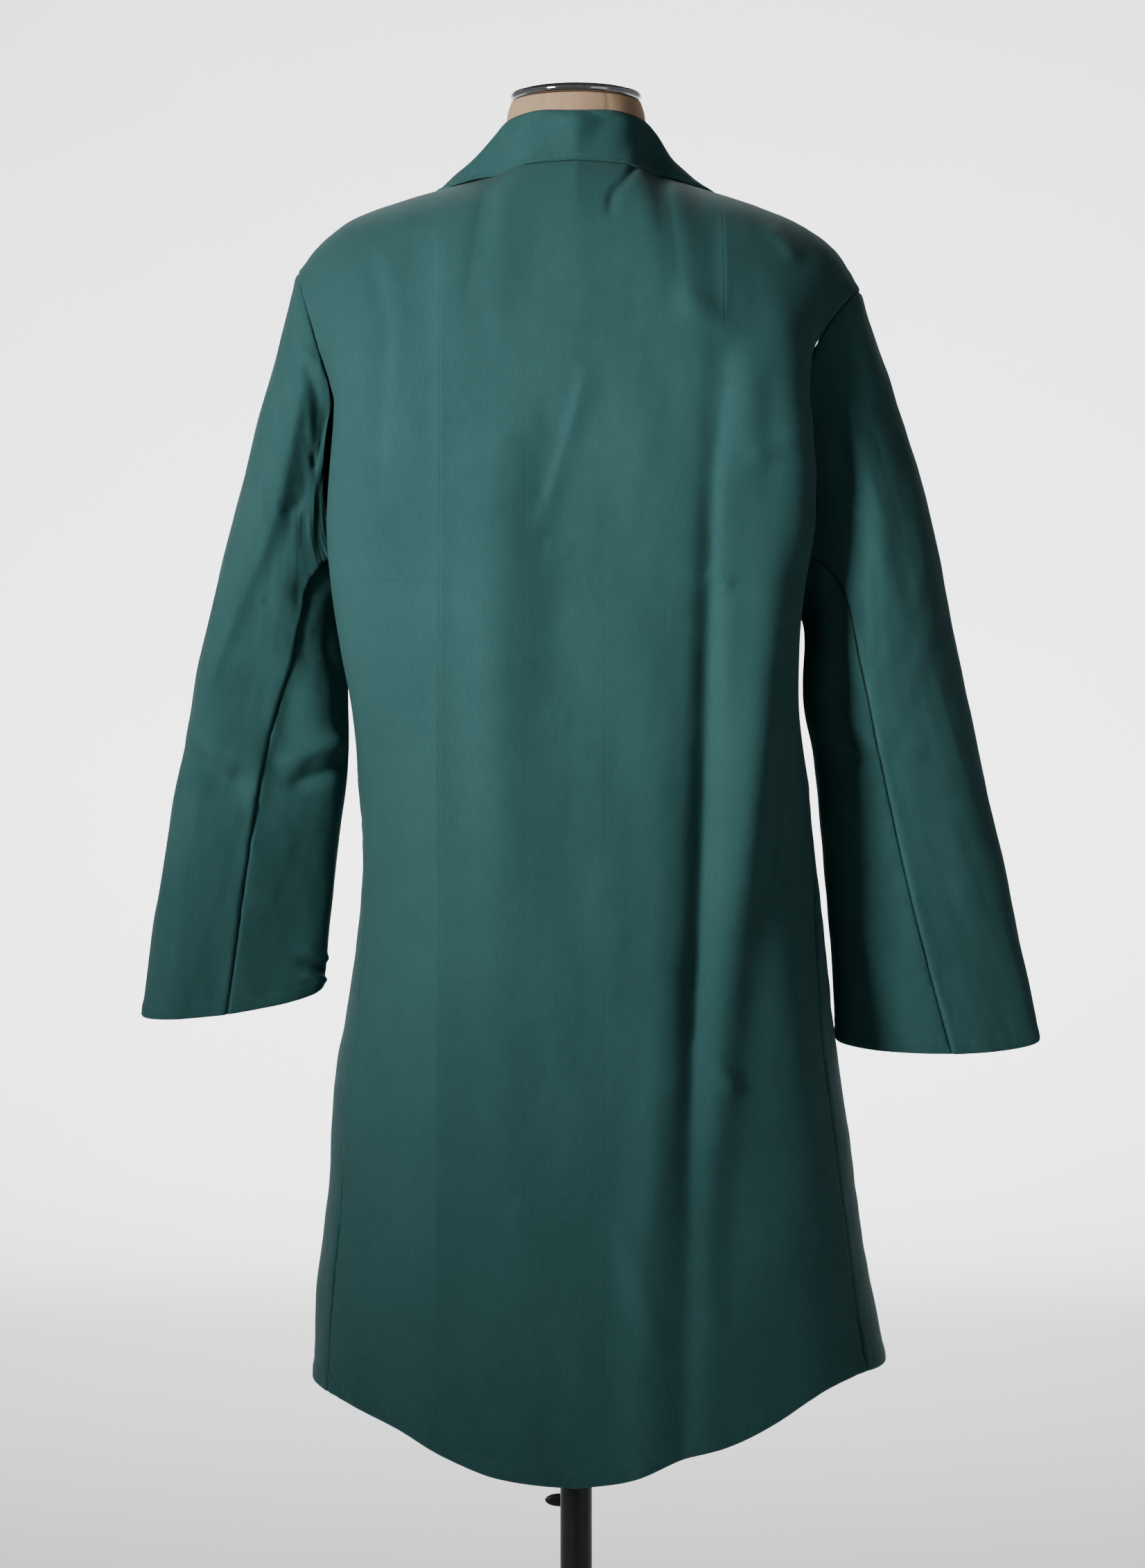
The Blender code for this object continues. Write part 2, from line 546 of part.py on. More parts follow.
def sleeve_normals(angle, way, side):
    """Outward normals of the sleeve, read a little inside its two ends."""
    inside = np.clip(way, 0.004, 0.996)
    normal = surface_normals(lambda a, b: sleeve_point(a, b, side), angle, inside)
    return -normal * side


def sleeve_dent(angle, way, side):
    """Depth of the sleeve's large folds: soft troughs along lines of angle and way."""
    total = np.zeros_like(angle)
    degrees = np.degrees(np.mod(angle, 2 * math.pi))
    for fold in named_rows(SLEEVE_FOLD_COLUMNS, SLEEVE_FOLDS[side]):
        run = np.clip((way - fold["start way"]) / (fold["end way"] - fold["start way"]), 0, 1)
        line = fold["start angle"] + (fold["end angle"] - fold["start angle"]) * run
        fade = np.sin(math.pi * run) ** 0.8
        total += fold["height"] * fade * np.exp(-((degrees - line) / fold["half width"]) ** 2)
    return total


def hole_angles(under):
    """Angles round the armhole at the body's own rows, from one seam to the other, in radians."""
    w = row_heights(PANEL_ROWS)
    half = (3 - w[w >= 1][::-1]) / 2 * math.pi
    last = len(half) - 1
    if under:
        behind = half[last - SEAM_ROW:]
        return np.concatenate([behind, 2 * math.pi - half[last - FRONT_SEAM_ROW:last][::-1]])
    return np.concatenate([-half[last - FRONT_SEAM_ROW:0:-1], half[:last - SEAM_ROW + 1]])


def sleeve_panel(side, under, rows=15):
    """Outer surface and normals of a sleeve's top or under piece, between its back and front seams.

    The columns start at the body's own points round the armhole and drift with the back seam.
    """
    way = np.linspace(0, 1, rows)
    seam = np.radians(column(BACK_SEAM, SEAM_COLUMNS, WORDS[side], way))
    front = np.full(rows, math.radians(FRONT_SEAM_DEGREES))
    start = (seam if under else front - 2 * math.pi)[:, None]
    end = (front if under else seam)[:, None]
    hole = hole_angles(under)
    share = (hole - hole[0]) / (hole[-1] - hole[0])
    angle = start + (end - start) * share[None, :]
    way = np.broadcast_to(way[:, None], angle.shape)
    normal = sleeve_normals(angle, way, side)
    points = sleeve_point(angle, way, side)
    points = points + normal * sleeve_dent(angle, way, side)[..., None]
    turn = np.mod(hole, 2 * math.pi)
    behind = turn <= math.pi
    w = 3 - 2 * np.where(behind, turn, 2 * math.pi - turn) / math.pi
    normal[0] = np.where(behind[:, None], seam_normals(w, side, BACK), seam_normals(w, side, FRONT))
    normal[0, w > 2.999] = tip_normal(side)
    points[0] += unit(points[1] - points[0]) * SLEEVE_SEAM / 2
    points[:, 0] += unit(points[:, 1] - points[:, 0]) * SLEEVE_SEAM / 2
    points[:, -1] += unit(points[:, -2] - points[:, -1]) * SLEEVE_SEAM / 2
    return points, normal


# ---- building -----------------------------------------------------------------------------------


def link(name, mesh, finish, group):
    mesh.materials.append(finish)
    item = bpy.data.objects.new(name, mesh)
    group.objects.link(item)
    return item


def cloth_wall(name, surface, finish, group):
    """A cloth wall: its outer face is the grid of points, its inner face lies one cloth inside."""
    outer, normal = surface
    rows, columns = outer.shape[:2]
    index = np.arange(rows * columns).reshape(rows, columns)
    inner_index = index + rows * columns
    facing = np.cross(outer[1:, 1:] - outer[:-1, :-1], outer[1:, :-1] - outer[:-1, 1:])
    turned_in = np.sum(facing * normal[:-1, :-1]) < 0

    def quads(grid):
        return np.stack([grid[:-1, :-1], grid[:-1, 1:], grid[1:, 1:], grid[1:, :-1]], -1).reshape(-1, 4)

    rim = np.concatenate([index[0, :-1], index[:-1, -1], index[-1, :0:-1], index[:0:-1, 0]])
    inner_rim = rim + rows * columns
    sides = np.stack([rim, inner_rim, np.roll(inner_rim, -1), np.roll(rim, -1)], axis=-1)
    halfway = rows + columns - 2
    sides[halfway:] = np.roll(sides[halfway:], -1, axis=1)
    walls = np.concatenate([quads(index), quads(inner_index)[:, ::-1]])
    rims = np.concatenate([sides[:, (0, 1, 2)], sides[:, (0, 2, 3)]])
    if turned_in:
        walls, rims = walls[:, ::-1], rims[:, ::-1]
    points = np.concatenate([outer.reshape(-1, 3), (outer - normal * CLOTH).reshape(-1, 3)])
    mesh = bpy.data.meshes.new(name)
    mesh.from_pydata(points.tolist(), [], walls.tolist() + rims.tolist())
    mesh.shade_smooth()
    return link(name, mesh, finish, group)


def turned(name, profile, finish, group, steps=48, ring=False):
    """A turned piece about +Z: the profile's points are (radius, height), top to bottom outside."""
    mesh = bpy.data.meshes.new(name)
    count = len(profile)
    edges = [(i, i + 1) for i in range(count - 1)] + ([(count - 1, 0)] if ring else [])
    mesh.from_pydata([(radius, 0, height) for radius, height in profile], edges, [])
    item = link(name, mesh, finish, group)
    spin = item.modifiers.new("Turn", "SCREW")
    spin.steps = spin.render_steps = steps
    spin.use_merge_vertices = True
    spin.merge_threshold = 0.00005
    return item


def tube(name, low, high, radius, wall, finish, group):
    profile = [(radius, high), (radius, low), (radius - wall, low), (radius - wall, high)]
    return turned(name, profile, finish, group, steps=32, ring=True)


def cutter(name, radius, depth, place, group, sides=32):
    bpy.ops.mesh.primitive_cylinder_add(vertices=sides, radius=radius, depth=depth, location=place)
    item = bpy.context.object
    item.name = name
    for owner in list(item.users_collection):
        owner.objects.unlink(item)
    group.objects.link(item)
    item.hide_render = True
    item.display_type = "WIRE"
    return item


def cut(item, tool, operation="DIFFERENCE"):
    step = item.modifiers.new("Cut", "BOOLEAN")
    step.operation = operation
    step.solver = "EXACT"
    step.object = tool


def torso(finish, group, cutters):
    """The limbless bust: one smooth solid through its sections, bored from below for the post."""
    z = np.array([row[0] for row in TORSO])
    angle = np.linspace(0, 2 * math.pi, 32, endpoint=False)
    half, back, front, square = (column(TORSO, TORSO_COLUMNS, name, z)[:, None]
                                 for name in TORSO_COLUMNS[1:])
    c, s = np.cos(angle)[None, :], np.sin(angle)[None, :]
    reach = (np.abs(c) ** square + np.abs(s) ** square) ** (1 / square)
    x, y = half * c / reach, np.where(s > 0, back, front) * s / reach
    points = np.stack([x, y, np.broadcast_to(z[:, None], x.shape)], axis=-1)
    index = np.arange(x.size).reshape(x.shape)
    following = np.roll(index, -1, axis=1)
    quads = np.stack([index[:-1], following[:-1], following[1:], index[1:]], axis=-1).reshape(-1, 4)
    faces = quads.tolist() + [index[0, ::-1].tolist(), index[-1].tolist()]
    mesh = bpy.data.meshes.new("torso")
    mesh.from_pydata(points.reshape(-1, 3).tolist(), [], faces)
    item = link("torso", mesh, finish, group)
    socket = cutter("post socket", POST_R + GAP, 2 * SOCKET_DEPTH, (0, 0, TORSO_BASE_Z), cutters)
    cut(item, socket)
    return item


def neck_cap(finish, group):
    """Polished cap: a flat underside, a rounded rim and a low domed top."""
    low = NECK_CAP_Z
    rim = [(NECK_CAP_R - 0.004 + 0.004 * math.cos(a), low + 0.0045 + 0.0040 * math.sin(a))
           for a in np.linspace(math.pi / 2, -math.pi / 2, 7)]
    profile = [(0, low + 0.0135), (0.030, low + 0.0115)] + rim + [(0, low + 0.0005)]
    return turned("neck_cap", profile, finish, group, steps=36)


def base_plate(finish, group):
    """Round steel plate with a short socket that holds the stand tube."""
    bore = POLE_R + GAP
    profile = [(0, BASE_H - 0.002), (bore, BASE_H - 0.002), (bore, BASE_SOCKET_Z),
               (bore + 0.005, BASE_SOCKET_Z), (bore + 0.007, BASE_H + 0.002),
               (BASE_R - 0.015, BASE_H - 0.003), (BASE_R, BASE_H - 0.007), (BASE_R, 0), (0, 0)]
    return turned("base_plate", profile, finish, group, steps=48)


def clamp(finish, group, cutters):
    """Threaded boss on the tube's far side, and a screw that grips the post, whose lever has one long
    wing towards the wearer's left and a short one behind the pole."""
    face_y = -POLE_R - GAP
    boss = turned("clamp_boss", [(BOSS_R, BOSS_L), (BOSS_R, 0), (SCREW_R + GAP, 0), (SCREW_R + GAP, BOSS_L)],
                  finish, group, steps=24, ring=True)
    boss.location = (0, face_y, CLAMP_Z)
    boss.rotation_euler = (math.pi / 2, 0, 0)
    pivot = bpy.data.objects.new("clamp pivot", None)
    group.objects.link(pivot)
    pivot.location = (0, face_y, CLAMP_Z)
    pivot.rotation_euler = (math.pi / 2, 0, 0)
    hub_low = BOSS_L + GAP
    screw = turned("clamp_screw", [(0, hub_low + HUB_L), (HUB_R, hub_low + HUB_L), (HUB_R, hub_low),
                                   (SCREW_R, hub_low), (SCREW_R, 0.0005), (0, 0.0005)],
                   finish, group, steps=24)
    screw.parent = pivot
    wing = bpy.data.meshes.new("wing outline")
    steps = np.linspace(0, 2 * math.pi, 28, endpoint=False)
    x = WING_MID + WING_L * np.cos(steps)
    y = WING_H * np.sign(np.sin(steps)) * np.abs(np.sin(steps)) ** 1.3
    mid = hub_low + HUB_L / 2
    count = len(steps)
    points = [(a, b, mid + h) for h in (-0.0025, 0.0025) for a, b in zip(x, y)]
    sides = [(i, (i + 1) % count, count + (i + 1) % count, count + i) for i in range(count)]
    wing.from_pydata(points, [], [tuple(range(count))[::-1], tuple(range(count, 2 * count))] + sides)
    wings = link("wing tool", wing, finish, cutters)
    wings.parent = pivot
    wings.hide_render = True
    wings.display_type = "WIRE"
    cut(screw, wings, "UNION")


def height_to_w(z, side):
    """Row parameter of a front at height z on the centre line."""
    hem = hem_height(np.array(0.0), side, FRONT)
    if z <= UNDERARM_Z:
        return float((z - hem) / (UNDERARM_Z - hem))
    return 1 + math.acos((CHEST_Z - z) / (CHEST_Z - UNDERARM_Z)) / (math.pi / 2)


def buttons(finish, group, cutters):
    """Four-hole buttons sewn down the left front on the centre line, each square to the cloth."""
    profile = [(0, BUTTON_H - 0.0010), (BUTTON_DISH_R, BUTTON_H - 0.0010), (BUTTON_RIM_R, BUTTON_H),
               (BUTTON_R - 0.0008, BUTTON_H), (BUTTON_R, BUTTON_H - 0.0010), (BUTTON_R, 0.0008),
               (BUTTON_R - 0.0010, 0), (0, 0)]
    for number in range(BUTTON_COUNT):
        z = BUTTON_TOP_Z - number * BUTTON_PITCH
        w = np.array(height_to_w(z, LEFT))
        centre = body_point(np.array(0.0), w, LEFT, FRONT)
        normal = body_normals(np.array(0.0), w, LEFT, FRONT)
        item = turned(f"button_{number + 1}", profile, finish, group, steps=16)
        item.location = Vector(centre + normal * 2 * GAP)
        item.rotation_euler = Vector(normal).to_track_quat("Z", "Y").to_euler()
        for hole in range(4):
            turn = math.pi / 4 + hole * math.pi / 2
            place = (HOLE_AT * math.cos(turn), HOLE_AT * math.sin(turn), BUTTON_H / 2)
            tool = cutter(f"button hole {number + 1}.{hole + 1}", HOLE_R, 4 * BUTTON_H, place, cutters, 6)
            tool.parent = item
            cut(item, tool)


def build():
    clear_scene()
    parts = collection("Work coat on dress form")
    cutters = collection("Cutters")
    green = material("coat cloth", (0.030, 0.130, 0.125), 0.85)
    linen = material("linen", (0.56, 0.42, 0.28), 0.90)
    black = material("black steel", (0.018, 0.018, 0.020), 0.45)
    chrome = material("chrome", (0.60, 0.60, 0.61), 0.10, 1.0)
    resin = material("button resin", (0.020, 0.075, 0.070), 0.35)

    cloth_wall("coat_back", back_panel(), green, parts)
    for side, word in WORDS.items():
        cloth_wall(f"coat_front_{word}", front_panel(side), green, parts)
        cloth_wall(f"lapel_{word}", lapel(side), green, parts)
        cloth_wall(f"sleeve_top_{word}", sleeve_panel(side, under=False), green, parts)
        cloth_wall(f"sleeve_under_{word}", sleeve_panel(side, under=True), green, parts)
    cloth_wall("collar", collar(), green, parts)
    buttons(resin, parts, cutters)

    torso(linen, parts, cutters)
    neck_cap(chrome, parts)
    tube("post", POST_FOOT_Z, TORSO_BASE_Z + SOCKET_DEPTH - GAP, POST_R, POLE_WALL, chrome, parts)
    tube("stand_tube", BASE_H - 0.002 + GAP, POLE_TOP_Z, POLE_R, POLE_R - POST_R - GAP, black, parts)
    base_plate(black, parts)
    clamp(black, parts, cutters)


build()
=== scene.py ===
"""Looks of a long button-front work coat, worn by a limbless dress form on a pole stand.

Metres, +Z up. The coat's front faces -Y, and the wearer's left is +X. A panel of cloth is a surface of
two parameters on a fine grid, moved out along its normals by its folds, and closed by an inner layer.
"""

from __future__ import annotations

import logging
import math
from dataclasses import dataclass, field
from enum import Enum

import bpy
import numpy as np
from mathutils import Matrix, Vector

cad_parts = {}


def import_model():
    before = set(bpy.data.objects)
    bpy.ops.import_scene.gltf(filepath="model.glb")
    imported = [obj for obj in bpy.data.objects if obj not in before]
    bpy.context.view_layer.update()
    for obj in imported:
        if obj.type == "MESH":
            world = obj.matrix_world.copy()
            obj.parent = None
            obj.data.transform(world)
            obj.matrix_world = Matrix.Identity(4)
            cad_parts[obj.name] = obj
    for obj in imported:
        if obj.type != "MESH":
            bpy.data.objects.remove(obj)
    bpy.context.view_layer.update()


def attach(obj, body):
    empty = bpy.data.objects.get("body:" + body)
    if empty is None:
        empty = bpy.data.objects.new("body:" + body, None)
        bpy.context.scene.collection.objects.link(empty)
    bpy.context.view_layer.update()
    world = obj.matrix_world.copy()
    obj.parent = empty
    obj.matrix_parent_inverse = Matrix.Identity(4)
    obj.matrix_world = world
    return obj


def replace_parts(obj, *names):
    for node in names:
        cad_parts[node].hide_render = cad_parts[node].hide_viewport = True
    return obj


LOG = logging.getLogger("work coat")
Array = np.ndarray
Socket = bpy.types.NodeSocket

CLOTH = 0.0015            # thickness of the coat's cloth
GAP = 0.0003              # clearance between pieces that lie on each other
COARSE = 4                # fine grid steps to one step of a panel's inner layer


class Side(Enum):
    """Side of the wearer; its value is the sign of X there."""

    LEFT = 1
    RIGHT = -1

    @property
    def word(self) -> str:
        """The side's name as the pieces' names have it."""
        return self.name.lower()


class Face(Enum):
    """Back or front of the body; its value is the sign of Y there."""

    BACK = 1
    FRONT = -1


class Edge(Enum):
    """The four edges of a panel's grid."""

    FIRST_ROW = 0
    LAST_ROW = 1
    FIRST_COLUMN = 2
    LAST_COLUMN = 3


class Profile(Enum):
    """Cross-section of a fold: a soft swelling, a line pressed by an iron, or a step that falls away
    on the right of its path and comes back slowly."""

    SOFT = "soft"
    PRESSED = "pressed"
    STEP = "step"


# ---- curves and grids ---------------------------------------------------------------------------


def spline(knots: Array, values: Array, x: Array) -> Array:
    """Smooth curve through a table's rows: cubic pieces whose slopes come from both neighbours.

    Args:
        knots: rising places of the rows.
        values: a number or a point for each row.
        x: places to read, clipped to the table.

    Returns:
        The curve's value at each place.
    """
    knots, values = np.asarray(knots, float), np.asarray(values, float)
    x = np.clip(np.asarray(x, float), knots[0], knots[-1])
    steps = np.diff(knots).reshape((-1,) + (1,) * (values.ndim - 1))
    rises = np.diff(values, axis=0) / steps
    if len(knots) > 2:
        middle = (rises[:-1] * steps[1:] + rises[1:] * steps[:-1]) / (steps[:-1] + steps[1:])
        slopes = np.concatenate([rises[:1], middle, rises[-1:]])
    else:
        slopes = np.concatenate([rises, rises])
    index = np.clip(np.searchsorted(knots, x, side="right") - 1, 0, len(knots) - 2)
    step = np.diff(knots)[index]
    u = (x - knots[index]) / step
    extra = (...,) + (None,) * (values.ndim - 1)
    u, step = u[extra], step[extra]
    return (values[index] * (1 + 2 * u) * (1 - u) ** 2 + values[index + 1] * u * u * (3 - 2 * u)
            + slopes[index] * step * u * (1 - u) ** 2 - slopes[index + 1] * step * u * u * (1 - u))


def hermite(start: Array, end: Array, leave: Array, arrive: Array, u: Array) -> Array:
    """Cubic curve from start to end that leaves and arrives with the two given velocities.

    Args:
        start: first points.
        end: last points.
        leave: velocities at the start.
        arrive: velocities at the end.
        u: shares of the way, 0 to 1.

    Returns:
        Points of the curves.
    """
    u = u[..., None]
    return (start * (1 + 2 * u) * (1 - u) ** 2 + end * u * u * (3 - 2 * u)
            + leave * u * (1 - u) ** 2 - arrive * u * u * (1 - u))


def unit(vectors: Array) -> Array:
    """The vectors at length one."""
    return vectors / np.maximum(np.linalg.norm(vectors, axis=-1, keepdims=True), 1e-12)


def ease(x: Array, low: float = 0.0, high: float = 1.0) -> Array:
    """Soft step from 0 at low to 1 at high."""
    share = np.clip((np.asarray(x, float) - low) / (high - low), 0, 1)
    return share * share * (3 - 2 * share)


def run_length(points: Array, axis: int) -> Array:
    """Length run along the grid's rows or columns up to each point.

    Args:
        points: grid of points.
        axis: 0 to run from row to row, 1 from column to column.

    Returns:
        Metres from the first row or column, for each point.
    """
    steps = np.linalg.norm(np.diff(points, axis=axis), axis=-1)
    start = np.zeros_like(np.take(steps, [0], axis=axis))
    return np.cumsum(np.concatenate([start, steps], axis=axis), axis=axis)


def even_places(curves: list[Array], places: Array, count: int, tight: tuple[float, float]) -> Array:
    """Places along a parameter that share out the mean length of some curves.

    The density of the places is 1 + 2.6 exp(-d/reach) near an end that is tight, so that seams get
    fine rows.

    Args:
        curves: points of each curve at the sampled places.
        places: the sampled places.
        count: how many places to give.
        tight: reach in metres of the fine rows at the start and at the end, 0 for none.

    Returns:
        The places, from the first to the last of the samples.
    """
    length = sum(run_length(curve[None], 1)[0] for curve in curves) / len(curves)
    density = np.ones_like(length)
    for reach, distance in zip(tight, (length, length[-1] - length)):
        if reach:
            density += 2.6 * np.exp(-distance / reach)
    weight = np.concatenate([[0], np.cumsum((density[1:] + density[:-1]) / 2 * np.diff(length))])
    return np.interp(np.linspace(0, weight[-1], count), weight, places)


def waves(x: Array, y: Array, seed: int, size: tuple[float, float], stretch: float = 1.0,
          count: int = 14) -> Array:
    """Even, patternless swell: a sum of sine waves of random direction, length and phase.

    Args:
        x: first coordinate in metres.
        y: second coordinate in metres.
        seed: seed of the draw.
        size: shortest and longest wave in metres.
        stretch: how much longer the waves are along y.
        count: how many waves are summed.

    Returns:
        Heights of about -1 to 1.
    """
    draw = np.random.default_rng(seed)
    total = np.zeros(np.broadcast(x, y).shape)
    for _ in range(count):
        turn, phase = draw.uniform(0, 2 * math.pi, 2)
        pace = 2 * math.pi / (size[0] * (size[1] / size[0]) ** draw.uniform())
        total += np.sin(pace * (x * math.cos(turn) + y * math.sin(turn) / stretch) + phase)
    return total / math.sqrt(count) / 1.4


@dataclass(frozen=True)
class Table:
    """A short table with named columns, read along its first column."""

    columns: tuple[str, ...]
    rows: tuple[tuple[float, ...], ...]

    def read(self, name: str, x: Array) -> Array:
        """Smooth curve through one named column at the places x."""
        place = self.columns.index(name)
        return spline([row[0] for row in self.rows], [row[place] for row in self.rows], x)


# ---- shape of the coat --------------------------------------------------------------------------

SECTIONS = Table(("z", "left", "right", "back", "front", "square", "pinch"), (
    (0.420, 0.2190, 0.2640, 0.158, 0.150, 2.3, 0.000),
    (0.500, 0.2175, 0.2570, 0.155, 0.148, 2.3, 0.000),
    (0.570, 0.2140, 0.2445, 0.152, 0.146, 2.3, 0.000),
    (0.650, 0.2055, 0.2320, 0.149, 0.144, 2.35, 0.000),
    (0.730, 0.2015, 0.2204, 0.146, 0.142, 2.4, 0.000),
    (0.812, 0.1890, 0.2100, 0.143, 0.140, 2.4, 0.000),
    (0.892, 0.1775, 0.2005, 0.140, 0.138, 2.5, 0.000),
    (0.953, 0.1770, 0.1940, 0.138, 0.136, 2.6, 0.000),
    (1.000, 0.1820, 0.1920, 0.136, 0.134, 2.8, 0.015),
    (1.050, 0.1910, 0.1900, 0.134, 0.132, 3.1, 0.070),
    (1.100, 0.2040, 0.1920, 0.132, 0.131, 3.3, 0.140),
    (1.150, 0.2110, 0.1960, 0.130, 0.130, 3.5, 0.180),
    (1.200, 0.2145, 0.2025, 0.128, 0.130, 3.5, 0.175),
    (1.250, 0.2125, 0.2015, 0.127, 0.129, 3.5, 0.160),
    (1.300, 0.2080, 0.1965, 0.125, 0.126, 3.5, 0.130)))

# Rise of the back's hem over its lowest point, by share of the way from the centre to the side seam
HEM_BACK = Table(("share", "left", "right"), (
    (0.00, 0.000, 0.000), (0.10, 0.003, 0.006), (0.20, 0.009, 0.021), (0.30, 0.022, 0.031),
    (0.40, 0.038, 0.047), (0.50, 0.049, 0.065), (0.65, 0.060, 0.077), (0.80, 0.064, 0.079),
    (1.00, 0.065, 0.079)))

# Top edge of a half panel: the neckline, then the shoulder seam out to the top of the sleeve
TOP_EDGE = Table(("t", "x left", "x right", "z left", "z right", "y back", "y front"), (
    (0.00, 0.000, 0.000, 1.497, 1.497, 0.066, -0.100),
    (0.18, 0.046, 0.046, 1.4955, 1.4955, 0.050, -0.070),
    (0.36, 0.072, 0.072, 1.4900, 1.4900, 0.000, 0.000),
    (0.50, 0.110, 0.110, 1.4810, 1.4795, 0.000, 0.000),
    (0.65, 0.152, 0.153, 1.4685, 1.4655, 0.000, 0.000),
    (0.80, 0.190, 0.192, 1.4530, 1.4480, 0.000, 0.000),
    (0.91, 0.2140, 0.2180, 1.4330, 1.4270, 0.000, 0.000),
    (1.00, 0.2300, 0.2360, 1.4120, 1.3970, 0.000, 0.000)))

# Directions in which a half panel leaves the chest line and meets the top edge
RISE = Table(("t", "chest left", "chest right", "chest out", "chest z",
              "top left", "top right", "top out", "top z"), (
    (0.00, 0.000, 0.000, 0.000, 0.220, 0.000, 0.000, -0.090, 0.060),
    (0.18, 0.000, 0.000, 0.000, 0.220, 0.000, 0.000, -0.140, 0.050),
    (0.30, 0.000, 0.000, 0.000, 0.220, 0.000, 0.000, -0.270, 0.020),
    (0.36, 0.000, 0.000, 0.000, 0.220, 0.000, 0.000, -0.300, 0.010),
    (0.50, 0.000, 0.000, 0.000, 0.210, 0.005, 0.005, -0.250, 0.005),
    (0.70, 0.000, 0.000, 0.000, 0.200, 0.010, 0.010, -0.205, 0.000),
    (0.90, 0.020, 0.010, 0.010, 0.150, 0.010, 0.020, -0.160, 0.005),
    (1.00, 0.040, -0.020, 0.012, 0.110, 0.000, 0.030, -0.140, 0.008)))

# Rings of each sleeve: its two corners, its depths, how far its back hangs below them, the power that
# squares its back, and how much fuller the back is outwards
RING_COLUMNS = ("way", "outer x", "outer z", "inner x", "inner z", "centre y", "back", "front", "drop",
                "square", "skew")
SLEEVE_RINGS = {
    Side.LEFT: (
        (0.24, 0.2800, 1.225, 0.1905, 1.120, 0.000, 0.062, 0.068, 0.000, 1.00, 0.00),
        (0.42, 0.3050, 1.120, 0.1885, 1.055, 0.000, 0.060, 0.062, 0.000, 0.90, 0.10),
        (0.60, 0.3243, 1.021, 0.1900, 0.995, -0.004, 0.055, 0.055, 0.002, 0.72, 0.28),
        (0.80, 0.3450, 0.905, 0.2010, 0.905, -0.010, 0.042, 0.045, 0.006, 0.62, 0.42),
        (1.00, 0.3610, 0.799, 0.2095, 0.820, -0.014, 0.037, 0.040, 0.010, 0.66, 0.36)),
    Side.RIGHT: (
        (0.24, 0.2900, 1.225, 0.1885, 1.120, 0.000, 0.058, 0.066, 0.000, 1.00, 0.00),
        (0.42, 0.3115, 1.118, 0.1880, 1.060, 0.000, 0.052, 0.058, 0.000, 1.00, 0.00),
        (0.60, 0.3345, 1.015, 0.1970, 1.005, -0.004, 0.045, 0.048, 0.002, 1.00, 0.00),
        (0.80, 0.3605, 0.900, 0.2085, 0.890, -0.008, 0.036, 0.038, 0.006, 1.00, 0.00),
        (1.00, 0.3857, 0.7775, 0.2158, 0.7775, -0.010, 0.030, 0.030, 0.011, 1.00, 0.00)),
}
# Degrees round the sleeve, from its outer line, at which the back seam lies
BACK_SEAM = Table(("way", "left", "right"), (
    (0.00, 144.0, 144.0), (0.24, 124.0, 118.0), (0.42, 106.0, 106.0), (0.60, 93.0, 104.0),
    (0.80, 90.0, 96.0), (1.00, 89.0, 84.0)))
FRONT_SEAM_DEGREES = 252.0

# Large folds of each sleeve: lines from (angle, way) to (angle, way), half width and height
SLEEVE_FOLD_COLUMNS = ("start angle", "start way", "end angle", "end way", "half width", "height")
SLEEVE_FOLDS = {
    Side.LEFT: (
        (86.0, 0.10, 40.0, 0.52, 16.0, -0.0055),
        (118.0, 0.30, 96.0, 0.75, 14.0, -0.0060),
        (140.0, 0.42, 150.0, 0.70, 20.0, 0.0050)),
    Side.RIGHT: (
        (120.0, 0.15, 128.0, 0.62, 16.0, -0.0050),),
}

# Large folds along the back: ends, half width and height
BACK_FOLD_COLUMNS = ("x top", "z top", "x foot", "z foot", "half width", "height", "foot")
BACK_FOLDS = (
    (-0.152, 1.140, -0.087, 0.460, 0.018, 0.0080, 0.25),
    (-0.113, 1.240, -0.086, 0.460, 0.012, -0.0060, 0.80),
    (-0.062, 0.780, -0.050, 0.440, 0.018, 0.0045, 1.00),
    (0.064, 1.300, 0.059, 0.700, 0.034, 0.0070, 0.20),
    (0.110, 1.240, 0.116, 0.560, 0.022, 0.0030, 1.00),
)

# Sections of the dress form from the base of the torso to the top of the neck
TORSO = Table(("z", "half width", "back", "front", "square"), (
    (0.790, 0.148, 0.100, 0.094, 2.2), (0.802, 0.158, 0.109, 0.102, 2.2),
    (0.860, 0.164, 0.114, 0.106, 2.2), (0.950, 0.155, 0.102, 0.098, 2.2),
    (1.050, 0.143, 0.090, 0.092, 2.2), (1.150, 0.150, 0.096, 0.103, 2.25),
    (1.240, 0.160, 0.104, 0.114, 2.3), (1.320, 0.167, 0.106, 0.110, 2.35),
    (1.375, 0.180, 0.095, 0.090, 2.2), (1.410, 0.184, 0.080, 0.075, 2.1),
    (1.437, 0.176, 0.066, 0.062, 2.0), (1.455, 0.155, 0.060, 0.056, 2.0),
    (1.469, 0.126, 0.052, 0.0510, 2.0), (1.4780, 0.098, 0.0500, 0.0490, 2.0),
    (1.4835, 0.0735, 0.0490, 0.0490, 2.0), (1.494, 0.0593, 0.0520, 0.0520, 2.0),
    (1.525, 0.0580, 0.0565, 0.0565, 2.0), (1.545, 0.0565, 0.0560, 0.0560, 2.0),
    (1.5525, 0.0540, 0.0540, 0.0540, 2.0)))


